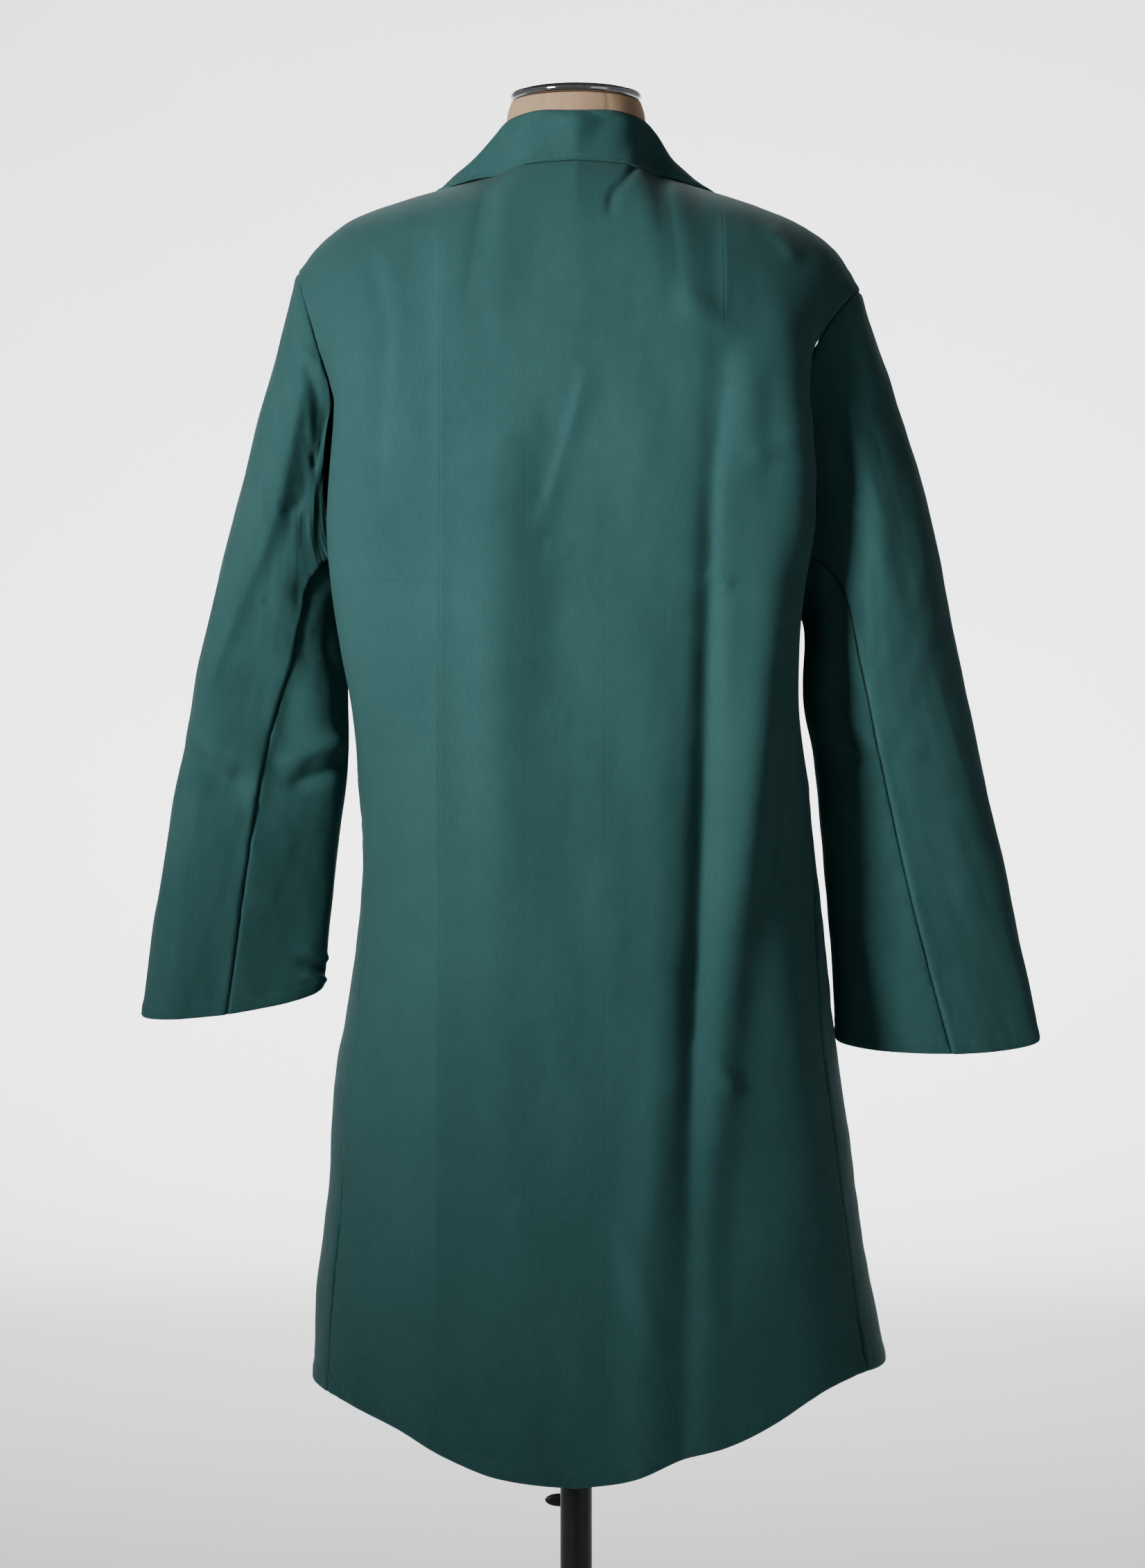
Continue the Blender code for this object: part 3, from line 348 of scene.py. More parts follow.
@dataclass(frozen=True)
class BodyShape:
    """The coat's body. t runs from the centre line (0) to a half panel's edge (1); w is 0 at the hem,
    1 at the underarm, 2 at the chest line and 3 at the neckline and shoulder seam."""

    underarm_z: float = 1.150
    chest_z: float = 1.300
    arm_tuck: float = 0.050
    pinch_reach: float = 0.050
    neck_t: float = 0.36
    hem_back_z: float = 0.435
    hem_front_z: float = 0.470
    side_back: float = 0.29
    side_back_row: float = 0.40

    def side_seam(self, w: Array) -> Array:
        """Share of the half back at which its side seam lies: 1 from the underarm up, and less below."""
        return 1 - self.side_back * (1 - ease(w, self.side_back_row, 1.0))

    def section(self, z: Array, t: Array, side: Side, face: Face, tuck: Array) -> Array:
        """Point of a level section: a squared oval, |x|^n + |y|^n = 1, hollowed under the arm.

        Args:
            z: heights.
            t: shares from the centre line to the panel's edge.
            side: side of the wearer.
            face: back or front.
            tuck: how far the panel's edge lies from the side line.

        Returns:
            Points of the section.
        """
        half = SECTIONS.read(side.word, z)
        depth = SECTIONS.read(face.name.lower(), z)
        square, pinch = SECTIONS.read("square", z), SECTIONS.read("pinch", z)
        share = tuck / depth
        edge_angle = np.arctan2(share, (1 - share ** square) ** (1 / square))
        angle = math.pi / 2 - t * (math.pi / 2 - edge_angle)
        c, s = np.cos(angle), np.sin(angle)
        reach = (np.abs(c) ** square + np.abs(s) ** square) ** (1 / square)
        x, y = half * c / reach, depth * s / reach
        x = x * (1 - pinch * np.exp(-(y / self.pinch_reach) ** 2))
        return np.stack([side.value * x, face.value * y, z], axis=-1)

    def hem(self, t: Array, side: Side, face: Face) -> Array:
        """Height of the hem by share t of the half panel.

        Args:
            t: shares from the centre line to the side seam.
            side: side of the wearer.
            face: back or front.

        Returns:
            Heights of the hem.
        """
        share = np.abs(t)
        if face is Face.BACK:
            return self.hem_back_z + HEM_BACK.read(side.word, share)
        side_z = self.hem_back_z + float(HEM_BACK.read(side.word, np.array(1.0)))
        return self.hem_front_z + (side_z - self.hem_front_z) * share ** 2

    def top(self, t: Array, side: Side, face: Face) -> Array:
        """Point of the top edge: the neckline up to neck_t, and then the shoulder seam."""
        x, z = TOP_EDGE.read(f"x {side.word}", t), TOP_EDGE.read(f"z {side.word}", t)
        y = TOP_EDGE.read(f"y {face.name.lower()}", t)
        return np.stack([side.value * x, np.where(t < self.neck_t, y, 0.0), z], axis=-1)

    def rise(self, t: Array, side: Side, face: Face, end: str) -> Array:
        """Velocity of the shoulder's curves at their chest or top end."""
        x, out, z = (RISE.read(f"{end} {axis}", t) for axis in (side.word, "out", "z"))
        return np.stack([side.value * x, face.value * out, z], axis=-1)

    def point(self, t: Array, w: Array, side: Side, face: Face) -> Array:
        """Point of the body: level sections up to the chest line, then a cubic curve to the top edge.

        Args:
            t: shares from the centre line to the panel's edge.
            w: rows, 0 to 3.
            side: side of the wearer.
            face: back or front.

        Returns:
            Points of the surface.
        """
        t, w = np.broadcast_arrays(np.asarray(t, float), np.asarray(w, float))
        hem = self.hem(t, side, face)
        skirt_z = hem + (self.underarm_z - hem) * np.clip(w, 0, 1)
        turn = np.clip(w - 1, 0, 1) * math.pi / 2
        arm_z = self.chest_z - (self.chest_z - self.underarm_z) * np.cos(turn)
        lower = self.section(np.where(w <= 1, skirt_z, arm_z), t, side, face, self.arm_tuck * np.sin(turn))
        upper = hermite(lower, self.top(np.maximum(t, 0), side, face), self.rise(t, side, face, "chest"),
                        self.rise(t, side, face, "top"), np.clip(w - 2, 0, 1))
        return np.where((w <= 2)[..., None], lower, upper)

    def round_point(self, t: Array, w: Array, side: Side) -> Array:
        """Point of a front that runs on past the side line: where t is over 1, the back's at 2 - t."""
        t, w = np.broadcast_arrays(t, w)
        near = self.point(np.minimum(t, 1), w, side, Face.FRONT)
        far = self.point(np.minimum(2 - t, 1), w, side, Face.BACK)
        return np.where((t > 1)[..., None], far, near)

    def normal(self, t: Array, w: Array, side: Side, face: Face, step: float = 0.002) -> Array:
        """Outward normals, from small steps that stay inside the panel.

        Args:
            t: shares from the centre line to the panel's edge.
            w: rows, 0 to 3.
            side: side of the wearer.
            face: back or front.
            step: length of the steps, in the parameters.

        Returns:
            Unit normals.
        """
        t, w = np.broadcast_arrays(np.asarray(t, float), np.asarray(w, float))
        t, w = np.minimum(t, 0.997), np.clip(w, 0.004, 2.996)
        across = self.point(t + step, w, side, face) - self.point(t - step, w, side, face)
        up = self.point(t, w + step, side, face) - self.point(t, w - step, side, face)
        return -unit(np.cross(across, up)) * side.value * face.value

    def row_at(self, z: float, side: Side) -> float:
        """Row of the front's centre line at height z, below the chest line."""
        hem = float(self.hem(np.array(0.0), side, Face.FRONT))
        if z <= self.underarm_z:
            return (z - hem) / (self.underarm_z - hem)
        return 1 + math.acos((self.chest_z - z) / (self.chest_z - self.underarm_z)) / (math.pi / 2)


@dataclass(frozen=True)
class SleeveShape:
    """A sleeve. The angle runs round from the outer line over the back; way runs from the armhole (0)
    to the cuff (1) through the rings of the side's table."""

    body: BodyShape
    side: Side

    def point(self, angle: Array, way: Array) -> Array:
        """Point of the sleeve: a smooth curve down through the armhole and each slanted oval ring.

        Args:
            angle: radians round the sleeve.
            way: shares of the way from the armhole to the cuff.

        Returns:
            Points of the surface.
        """
        turn = np.mod(angle, 2 * math.pi)
        behind = (turn <= math.pi)[..., None]
        share = np.where(behind[..., 0], turn, 2 * math.pi - turn) / math.pi
        edge = [self.body.point(np.ones_like(share), 3 - 2 * share, self.side, face) for face in Face]
        rings, knots = [np.where(behind, edge[0], edge[1])], [0.0]
        c, s = np.cos(turn), np.sin(turn)
        for row in SLEEVE_RINGS[self.side]:
            ring = dict(zip(RING_COLUMNS, row))
            x, z = ((ring[f"outer {axis}"] * (1 + c) + ring[f"inner {axis}"] * (1 - c)) / 2
                    for axis in "xz")
            bulge = np.where(s > 0, np.abs(s) ** ring["square"] * (1 + ring["skew"] * c), s)
            y = ring["centre y"] + np.where(s > 0, ring["back"], ring["front"]) * bulge
            rings.append(np.stack([self.side.value * x, y, z - ring["drop"] * s], axis=-1))
            knots.append(ring["way"])
        return self._through(np.array(knots), np.stack(rings), way)

    def _through(self, knots: Array, rings: Array, way: Array) -> Array:
        """Cubic curves through the rings, where each point has its own way along."""
        steps = np.diff(knots).reshape(-1, *([1] * (rings.ndim - 1)))
        rises = np.diff(rings, axis=0) / steps
        middle = (rises[:-1] * steps[1:] + rises[1:] * steps[:-1]) / (steps[:-1] + steps[1:])
        slopes = np.concatenate([rises[:1], middle, rises[-1:]])
        index = np.clip(np.searchsorted(knots, way, side="right") - 1, 0, len(knots) - 2)
        grid = tuple(np.indices(way.shape))
        step = np.diff(knots)[index][..., None]
        u = (way - knots[index])[..., None] / step
        low, high = rings[(index,) + grid], rings[(index + 1,) + grid]
        leave, arrive = slopes[(index,) + grid], slopes[(index + 1,) + grid]
        return hermite(low, high, leave * step, arrive * step, u[..., 0])

    def dent(self, angle: Array, way: Array) -> Array:
        """Height of the sleeve's large folds: soft troughs along lines of angle and way."""
        total, degrees = np.zeros_like(angle), np.degrees(np.mod(angle, 2 * math.pi))
        for row in SLEEVE_FOLDS[self.side]:
            fold = dict(zip(SLEEVE_FOLD_COLUMNS, row))
            run = np.clip((way - fold["start way"]) / (fold["end way"] - fold["start way"]), 0, 1)
            line = fold["start angle"] + (fold["end angle"] - fold["start angle"]) * run
            fade = np.sin(math.pi * run) ** 0.8
            total += fold["height"] * fade * np.exp(-((degrees - line) / fold["half width"]) ** 2)
        return total

    def seams(self, under: bool, way: Array) -> tuple[Array, Array]:
        """Angles in radians at which the top or under piece starts and ends."""
        back = np.radians(BACK_SEAM.read(self.side.word, way))
        front = np.full_like(back, math.radians(FRONT_SEAM_DEGREES))
        return (back, front) if under else (front - 2 * math.pi, back)


# ---- folds --------------------------------------------------------------------------------------


@dataclass(frozen=True)
class Fold:
    """A crease along a path in the panel's flat view, in metres of X and Z.

    Its height is height * profile(d / width) * fade, where d is the distance from the path, the width
    is larger on one side by the lean, and the fade runs in and out over a share of its length.
    """

    path: tuple[tuple[float, float], ...]
    width: float
    height: float
    profile: Profile = Profile.SOFT
    lean: float = 0.0
    start: float = 0.3
    end: float = 0.3
    uneven: float = 0.25

    def at(self, x: Array, z: Array) -> Array:
        """Height of the fold at each point.

        Args:
            x: X of the points.
            z: Z of the points.

        Returns:
            Heights in metres.
        """
        line = np.array(self.path, float)
        chord = np.concatenate([[0], np.cumsum(np.linalg.norm(np.diff(line, axis=0), axis=1))])
        if len(line) > 2:
            line = spline(chord, line, np.linspace(0, chord[-1], 4 * len(line)))
            chord = np.concatenate([[0], np.cumsum(np.linalg.norm(np.diff(line, axis=0), axis=1))])
        best, run = np.full(x.shape, np.inf), np.zeros(x.shape)
        side = np.zeros(x.shape)
        for (ax, az), (bx, bz), start in zip(line[:-1], line[1:], chord):
            dx, dz = bx - ax, bz - az
            length = math.hypot(dx, dz)
            share = np.clip(((x - ax) * dx + (z - az) * dz) / length ** 2, 0, 1)
            away = np.hypot(x - ax - share * dx, z - az - share * dz)
            near = away < best
            best = np.where(near, away, best)
            side = np.where(near, np.sign((x - ax) * dz - (z - az) * dx), side)
            run = np.where(near, start + share * length, run)
        run = run / chord[-1]
        seed = int(abs(self.path[0][0] * 7919 + self.path[0][1] * 104729) * 100) % 9973
        sway = waves(run * chord[-1], np.zeros(1), seed, (0.03, 0.14))
        width = self.width * (1 + self.lean * side) * (1 + 0.6 * self.uneven * sway)
        far = best / width
        shape = {Profile.SOFT: np.exp(-far ** 2), Profile.PRESSED: np.exp(-far),
                 Profile.STEP: np.where(side > 0, far * np.exp(1 - far), 0.0)}[self.profile]
        fade = np.ones_like(run)
        if self.start:
            fade = fade * ease(run, 0, self.start)
        if self.end:
            fade = fade * ease(1 - run, 0, self.end)
        return self.height * shape * fade * (1 + self.uneven * np.roll(sway, 1))


def folds_height(folds: tuple[Fold, ...], points: Array, seen: Array) -> Array:
    """Sum of the folds' heights over a panel, where it faces their view.

    Args:
        folds: the panel's folds.
        points: grid of points.
        seen: 0 to 1, how far each point faces the view in which the folds are drawn.

    Returns:
        Heights in metres.
    """
    total = np.zeros(points.shape[:2])
    for fold in folds:
        total += fold.at(points[..., 0], points[..., 2])
    return total * seen


# ---- meshes -------------------------------------------------------------------------------------


def grid_faces(index: Array, closed: bool = False) -> Array:
    """Four-cornered faces of a grid of point numbers.

    Args:
        index: point numbers by row and column.
        closed: True where the last column joins the first.

    Returns:
        Faces, four numbers each, that run round with the columns and then the rows.
    """
    after = np.roll(index, -1, axis=1) if closed else index[:, 1:]
    index = index if closed else index[:, :-1]
    return np.stack([index[:-1], after[:-1], after[1:], index[1:]], -1).reshape(-1, 4)


def make_piece(name: str, points: Array, faces: list[Array], finish: bpy.types.Material,
               flat: Array | None = None, worn: Array | None = None,
               sharp: float | None = None) -> bpy.types.Object:
    """A mesh object at the origin, made from whole arrays.

    Args:
        name: name of the piece.
        points: its points, one row each.
        faces: arrays of faces, each with its own number of corners.
        finish: the material.
        flat: flat coordinates in metres of each point, for weaves.
        worn: 0 to 1 for each point, how near it lies to an edge that rubs.
        sharp: angle in radians past which an edge stays sharp, or None for all smooth.

    Returns:
        The object, linked to the scene.
    """
    mesh = bpy.data.meshes.new(name)
    corners = np.concatenate([face.ravel() for face in faces]).astype(np.int32)
    sizes = np.concatenate([np.full(len(face), face.shape[1]) for face in faces])
    mesh.vertices.add(len(points))
    mesh.vertices.foreach_set("co", np.ascontiguousarray(points, np.float32).ravel())
    mesh.loops.add(len(corners))
    mesh.loops.foreach_set("vertex_index", corners)
    mesh.polygons.add(len(sizes))
    mesh.polygons.foreach_set("loop_start", np.concatenate([[0], np.cumsum(sizes)[:-1]]).astype(np.int32))
    if flat is not None:
        mesh.uv_layers.new(name="cut").data.foreach_set(
            "uv", np.ascontiguousarray(flat[corners], np.float32).ravel())
    if worn is not None:
        mesh.attributes.new("worn", "FLOAT", "POINT").data.foreach_set(
            "value", np.ascontiguousarray(worn, np.float32))
    mesh.update(calc_edges=True)
    mesh.shade_smooth()
    if sharp is not None:
        mesh.set_sharp_from_angle(angle=sharp)
    mesh.materials.append(finish)
    piece = bpy.data.objects.new(name, mesh)
    bpy.context.scene.collection.objects.link(piece)
    return piece


def take_place(piece: bpy.types.Object, node: str, body: str) -> bpy.types.Object:
    """Put a finished piece in its node's place.

    Args:
        piece: the piece.
        node: the node that it stands for.
        body: the moving body that it rides on.

    Returns:
        The same piece.
    """
    piece.name = f"fine_{node}"
    LOG.info("%s: %d faces", piece.name, len(piece.data.polygons))
    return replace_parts(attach(piece, body), node)


@dataclass(frozen=True)
class Sewing:
    """Sizes that every seam and turned edge of the coat shares, in metres."""

    groove: float = 0.0013
    ridge: float = 0.00035
    ridge_at: float = 0.003
    pucker_reach: float = 0.009
    worn_at: float = 0.002
    worn_width: float = 0.0015
    worn_share: float = 0.6
    edge_round: float = 0.0007
    edge_width: float = 0.0009
    double: float = 0.0003
    double_past: float = 0.0012
    double_ease: float = 0.0016
    stitch_dip: float = 0.00045
    stitch_width: float = 0.0009
    ripple_middle: float = 0.7
    rub: float = 0.0018


SEWING = Sewing()


@dataclass
class ClothGrid:
    """A piece of cloth: a base surface, the height of its folds above it, and its thickness."""

    name: str
    points: Array
    flip: bool = False
    wall: float = CLOTH
    coarse: int = COARSE
    normals: Array = field(init=False)
    across: Array = field(init=False)
    along: Array = field(init=False)
    lift: Array = field(init=False)
    worn: Array = field(init=False)

    def __post_init__(self) -> None:
        """Normals are the cross product of the grid's two directions."""
        turn = -1 if self.flip else 1
        self.normals = turn * unit(np.cross(np.gradient(self.points, axis=1),
                                            np.gradient(self.points, axis=0)))
        self.across, self.along = run_length(self.points, 1), run_length(self.points, 0)
        self.lift, self.worn = np.zeros(self.points.shape[:2]), np.zeros(self.points.shape[:2])

    def distance(self, edge: Edge) -> Array:
        """Metres from one edge of the grid, along its rows or columns."""
        return {Edge.FIRST_ROW: self.along, Edge.LAST_ROW: self.along[-1:] - self.along,
                Edge.FIRST_COLUMN: self.across,
                Edge.LAST_COLUMN: self.across[:, -1:] - self.across}[edge]

    def sew(self, edge: Edge, seed: int, where: Array | float = 1.0, pucker: float = 0.0004,
            dip: float = 0.0012) -> None:
        """Turn an edge in along its seam, with a low ridge beside it and small uneven puckers.

        The lift is -dip exp(-d/1.3 mm) + ridge (d/3 mm) exp(1 - d/3 mm) + pucker waves exp(-d/9 mm).

        Args:
            edge: the edge that is sewn.
            seed: seed of the puckers.
            where: 0 to 1 along the edge, where it is sewn in this way.
            pucker: height of the puckers.
            dip: depth of the seam's groove.
        """
        d, size = self.distance(edge), SEWING
        run = self.along if edge in (Edge.FIRST_COLUMN, Edge.LAST_COLUMN) else self.across
        ripple = waves(run, d * 0.6, seed, (0.009, 0.030))
        ridge = size.ridge * (d / size.ridge_at) * np.exp(1 - d / size.ridge_at)
        self.lift += where * (-dip * np.exp(-d / size.groove) + ridge
                              + pucker * ripple * np.exp(-d / size.pucker_reach))
        rubbed = size.worn_share * np.exp(-(d - size.worn_at) ** 2 / size.worn_width ** 2)
        self.worn = np.maximum(self.worn, where * rubbed)

    def turn_in(self, edge: Edge, seed: int, turn: float, pucker: float = 0.0003) -> None:
        """Round a free edge that is turned in and stitched down.

        The lift is -0.7 mm at the edge, a dip along the stitches at the turn's depth, and a ripple
        between the two, where the double cloth draws up.

        Args:
            edge: the free edge.
            seed: seed of the ripple.
            turn: depth of the turned cloth, from the edge to the stitches.
            pucker: height of the ripple.
        """
        d, size = self.distance(edge), SEWING
        run = self.along if edge in (Edge.FIRST_COLUMN, Edge.LAST_COLUMN) else self.across
        ripple = waves(run + 0.4 * d, d, seed, (0.007, 0.026))
        double = size.double * ease(turn + size.double_past - d, 0, size.double_ease)
        middle = turn * size.ripple_middle
        self.lift += (-size.edge_round * np.exp(-(d / size.edge_width) ** 2) + double
                      - size.stitch_dip * np.exp(-((d - turn) / size.stitch_width) ** 2)
                      + pucker * ripple * np.exp(-((d - middle) / middle) ** 2))
        self.worn = np.maximum(self.worn, np.exp(-d / size.rub))

    def edge_line(self, edge: Edge, inset: float, start: int = 0, stop: int | None = None
                  ) -> tuple[Array, Array]:
        """A line on the cloth, parallel to an edge, and its normals.

        Args:
            edge: the edge.
            inset: distance of the line from the edge.
            start: first point of the grid along the edge.
            stop: last point of the grid along the edge, or None for its end.

        Returns:
            Points and normals of the line.
        """
        outer = self.points + self.normals * self.lift[..., None]
        d = self.distance(edge)
        if edge in (Edge.FIRST_ROW, Edge.LAST_ROW):
            outer, normals, d = outer.transpose(1, 0, 2), self.normals.transpose(1, 0, 2), d.T
        else:
            normals = self.normals
        at = np.argmin(np.abs(d - inset), axis=1)
        other = np.clip(at + np.where(np.take_along_axis(d, at[:, None], 1)[:, 0] < inset, 1, -1) *
                        (1 if edge in (Edge.FIRST_ROW, Edge.FIRST_COLUMN) else -1), 0, d.shape[1] - 1)
        rows = np.arange(len(at))
        span = d[rows, other] - d[rows, at]
        share = np.clip((inset - d[rows, at]) / np.where(np.abs(span) < 1e-9, 1, span), 0, 1)[:, None]
        line = outer[rows, at] * (1 - share) + outer[rows, other] * share
        return line[start:stop], normals[rows, at][start:stop]

    def build(self, finish: bpy.types.Material) -> bpy.types.Object:
        """The closed shell: the fine outer layer, an inner layer of every few points that stays one
        wall below the lowest fold near it, and fans that join their rims.

        Args:
            finish: the cloth's material.

        Returns:
            The piece.
        """
        step = self.coarse
        outer = self.points + self.normals * self.lift[..., None]
        low = self.lift.copy()
        for axis in (0, 1):
            padded = np.concatenate([np.repeat(low.take([0], axis), step, axis), low,
                                     np.repeat(low.take([-1], axis), step, axis)], axis)
            count = low.shape[axis]
            low = np.min([padded.take(range(k, k + count), axis) for k in range(2 * step + 1)], axis=0)
        inner = (self.points + self.normals * (low - self.wall)[..., None])[::step, ::step]
        index = np.arange(self.lift.size).reshape(self.lift.shape)
        inner_index = index.size + np.arange(inner.shape[0] * inner.shape[1]).reshape(inner.shape[:2])
        faces = [grid_faces(index), grid_faces(inner_index)[:, ::-1], *self._rim(index, inner_index)]
        if self.flip:
            faces = [face[:, ::-1] for face in faces]
        flat = np.stack([self.across - self.across.mean(1, keepdims=True), self.along], axis=-1)
        flat = np.concatenate([flat.reshape(-1, 2), flat[::step, ::step].reshape(-1, 2)])
        worn = np.concatenate([self.worn.ravel(), self.worn[::step, ::step].ravel()])
        points = np.concatenate([outer.reshape(-1, 3), inner.reshape(-1, 3)])
        return make_piece(self.name, points, faces, finish, flat, worn)

    def _rim(self, index: Array, inner: Array) -> list[Array]:
        """Triangles round the rim, where one step of the inner layer meets several of the outer."""
        rings = [np.concatenate([grid[0, :-1], grid[:-1, -1], grid[-1, :0:-1], grid[:0:-1, 0]])
                 for grid in (index, inner)]
        step, near = self.coarse, rings[1]
        fine = np.stack([np.roll(rings[0], -k)[::step] for k in range(step + 1)])
        far, half = np.roll(near, -1), step // 2
        fans = [np.stack([fine[k], near if k < half else far, fine[k + 1]], -1) for k in range(step)]
        return [np.concatenate([*fans, np.stack([fine[half], near, far], -1)])]


@dataclass(frozen=True)
class Stitching:
    """Rows of stitches: each is a small closed capsule that lies along its line and dips in at both
    ends."""

    pitch: float = 0.0030
    length: float = 0.0024
    radius: float = 0.00024
    sink: float = 0.00012
    rings: tuple[tuple[float, float], ...] = ((-1.0, 0.35), (-0.62, 0.95), (0.0, 1.0), (0.62, 0.95),
                                              (1.0, 0.35))
    sides: int = 5

    def lay(self, line: Array, normals: Array) -> tuple[Array, Array, Array]:
        """Stitches along one line: rings of points about the line, in its own direction.

        Args:
            line: points of the line.
            normals: the cloth's normals there.

        Returns:
            Points, four-cornered faces and end faces.
        """
        run = run_length(line[None], 1)[0]
        count = max(int(run[-1] / self.pitch), 1)
        middle = (np.arange(count) + 0.5) * run[-1] / count
        shares = np.array([share for share, _ in self.rings])
        girth = np.array([size for _, size in self.rings])
        at = middle[:, None] + shares * self.length / 2
        centre = np.stack([np.interp(at, run, line[:, k]) for k in range(3)], -1)
        up = unit(np.stack([np.interp(at, run, normals[:, k]) for k in range(3)], -1))
        ahead = unit(centre[:, -1:] - centre[:, :1])
        across = unit(np.cross(up, ahead))
        centre = centre + up * (self.radius * 0.55 - self.sink * shares[None, :, None] ** 2 * 2)
        turn = np.linspace(0, 2 * math.pi, self.sides, endpoint=False)
        ring = (across[:, :, None] * np.cos(turn)[:, None] + up[:, :, None] * np.sin(turn)[:, None])
        points = centre[:, :, None] + ring * (self.radius * girth)[:, None, None]
        index = np.arange(points[..., 0].size).reshape(points.shape[:3])
        around = np.roll(index, -1, axis=2)
        sides = np.stack([index[:, :-1], around[:, :-1], around[:, 1:], index[:, 1:]], -1)
        ends = np.concatenate([index[:, 0, ::-1], index[:, -1]])
        return points.reshape(-1, 3), sides.reshape(-1, 4), ends

    def piece(self, name: str, lines: list[tuple[Array, Array]], finish: bpy.types.Material
              ) -> bpy.types.Object:
        """All the stitches of several lines as one piece.

        Args:
            name: name of the piece.
            lines: points and normals of each line.
            finish: the thread's material.

        Returns:
            The piece, riding on the form.
        """
        points, sides, ends, count = [], [], [], 0
        for line, normals in lines:
            some, quads, caps = self.lay(line, normals)
            points.append(some)
            sides.append(quads + count)
            ends.append(caps + count)
            count += len(some)
        piece = make_piece(name, np.concatenate(points), [np.concatenate(sides), np.concatenate(ends)],
                           finish)
        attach(piece, "form")
        LOG.info("%s: %d lines", name, len(lines))
        return piece


def turned(name: str, profile: Array, finish: bpy.types.Material, steps: int = 72,
           sharp: float = math.radians(35)) -> bpy.types.Object:
    """A turned piece about +Z: its profile of (radius, height) carried round a circle.

    Args:
        name: name of the piece.
        profile: points from the top round the outside; the ends lie on the axis, or meet in a ring.
        finish: the material.
        steps: points round the circle.
        sharp: angle past which an edge stays sharp.

    Returns:
        The piece.
    """
    profile = np.asarray(profile, float)
    closed = profile[0, 0] > 1e-6
    turn = np.linspace(0, 2 * math.pi, steps, endpoint=False)
    body = profile if closed else profile[1:-1]
    points = np.stack([body[:, :1] * np.cos(turn), body[:, :1] * np.sin(turn),
                       np.broadcast_to(body[:, 1:], (len(body), steps))], -1)
    index = np.arange(points[..., 0].size).reshape(points.shape[:2])
    girth = 2 * math.pi * body[:, 0].max()
    run = run_length(profile[None], 1)[0][slice(None) if closed else slice(1, -1)]
    flat = np.stack([np.broadcast_to(turn / (2 * math.pi) * girth, index.shape),
                     np.broadcast_to(run[:, None], index.shape)], -1).reshape(-1, 2)
    points = points.reshape(-1, 3)
    if closed:
        faces = [grid_faces(np.concatenate([index, index[:1]]), closed=True)[:, ::-1]]
    else:
        poles = [[0, 0, profile[0, 1]], [0, 0, profile[-1, 1]]]
        points = np.concatenate([points, poles])
        flat = np.concatenate([flat, [[0, run[0]], [0, run[-1]]]])
        first, last, after = index[0], index[-1], (np.roll(index[0], -1), np.roll(index[-1], -1))
        caps = [np.stack([np.full(steps, index.size), first, after[0]], -1),
                np.stack([np.full(steps, index.size + 1), after[1], last], -1)]
        faces = [grid_faces(index, closed=True)[:, ::-1], np.concatenate(caps)]
    return make_piece(name, points, faces, finish, flat, None, sharp)


def arc(centre: tuple[float, float], radius: float, start: float, stop: float, steps: int = 8) -> Array:
    """Points of an arc of a profile, from one angle to another in degrees."""
    turn = np.radians(np.linspace(start, stop, steps))
    return np.stack([centre[0] + radius * np.cos(turn), centre[1] + radius * np.sin(turn)], -1)


# ---- finishes -----------------------------------------------------------------------------------


class Tree:
    """A shader node tree while it is wired."""

    def __init__(self, tree: bpy.types.NodeTree) -> None:
        """Keep the tree that the nodes go into."""
        self.tree = tree

    def add(self, kind: str, inputs: dict[str | int, object] | None = None,
            **settings: object) -> bpy.types.Node:
        """A new node, with its settings made and its inputs linked or set.

        Args:
            kind: the node's type, without its first word.
            inputs: a socket, a number or a colour for each named or numbered input.
            settings: the node's own settings.

        Returns:
            The node.
        """
        node = self.tree.nodes.new("ShaderNode" + kind)
        for name, value in settings.items():
            setattr(node, name, value)
        for key, value in (inputs or {}).items():
            if isinstance(value, bpy.types.NodeSocket):
                self.tree.links.new(value, node.inputs[key])
            else:
                node.inputs[key].default_value = value
        return node

    def math(self, operation: str, *values: object) -> Socket:
        """The result of a Math node on up to three sockets or numbers."""
        return self.add("Math", dict(enumerate(values)), operation=operation).outputs[0]

    def blend(self, share: object, first: object, second: object) -> Socket:
        """A colour between two others, by share."""
        node = self.add("Mix", {0: share, 6: first, 7: second}, data_type="RGBA")
        return node.outputs[2]

    def span(self, value: object, low: float, high: float, to_low: float = 0.0, to_high: float = 1.0
             ) -> Socket:
        """A value moved from one range to another, and kept inside it."""
        return self.add("MapRange", {0: value, 1: low, 2: high, 3: to_low, 4: to_high}).outputs[0]

    def noise(self, place: object, scale: float, detail: float = 2.0, rough: float = 0.5) -> Socket:
        """Even noise, 0 to 1, at a scale of waves a metre."""
        node = self.add("TexNoise", {"Vector": place, "Scale": scale, "Detail": detail,
                                     "Roughness": rough})
        return node.outputs[0]


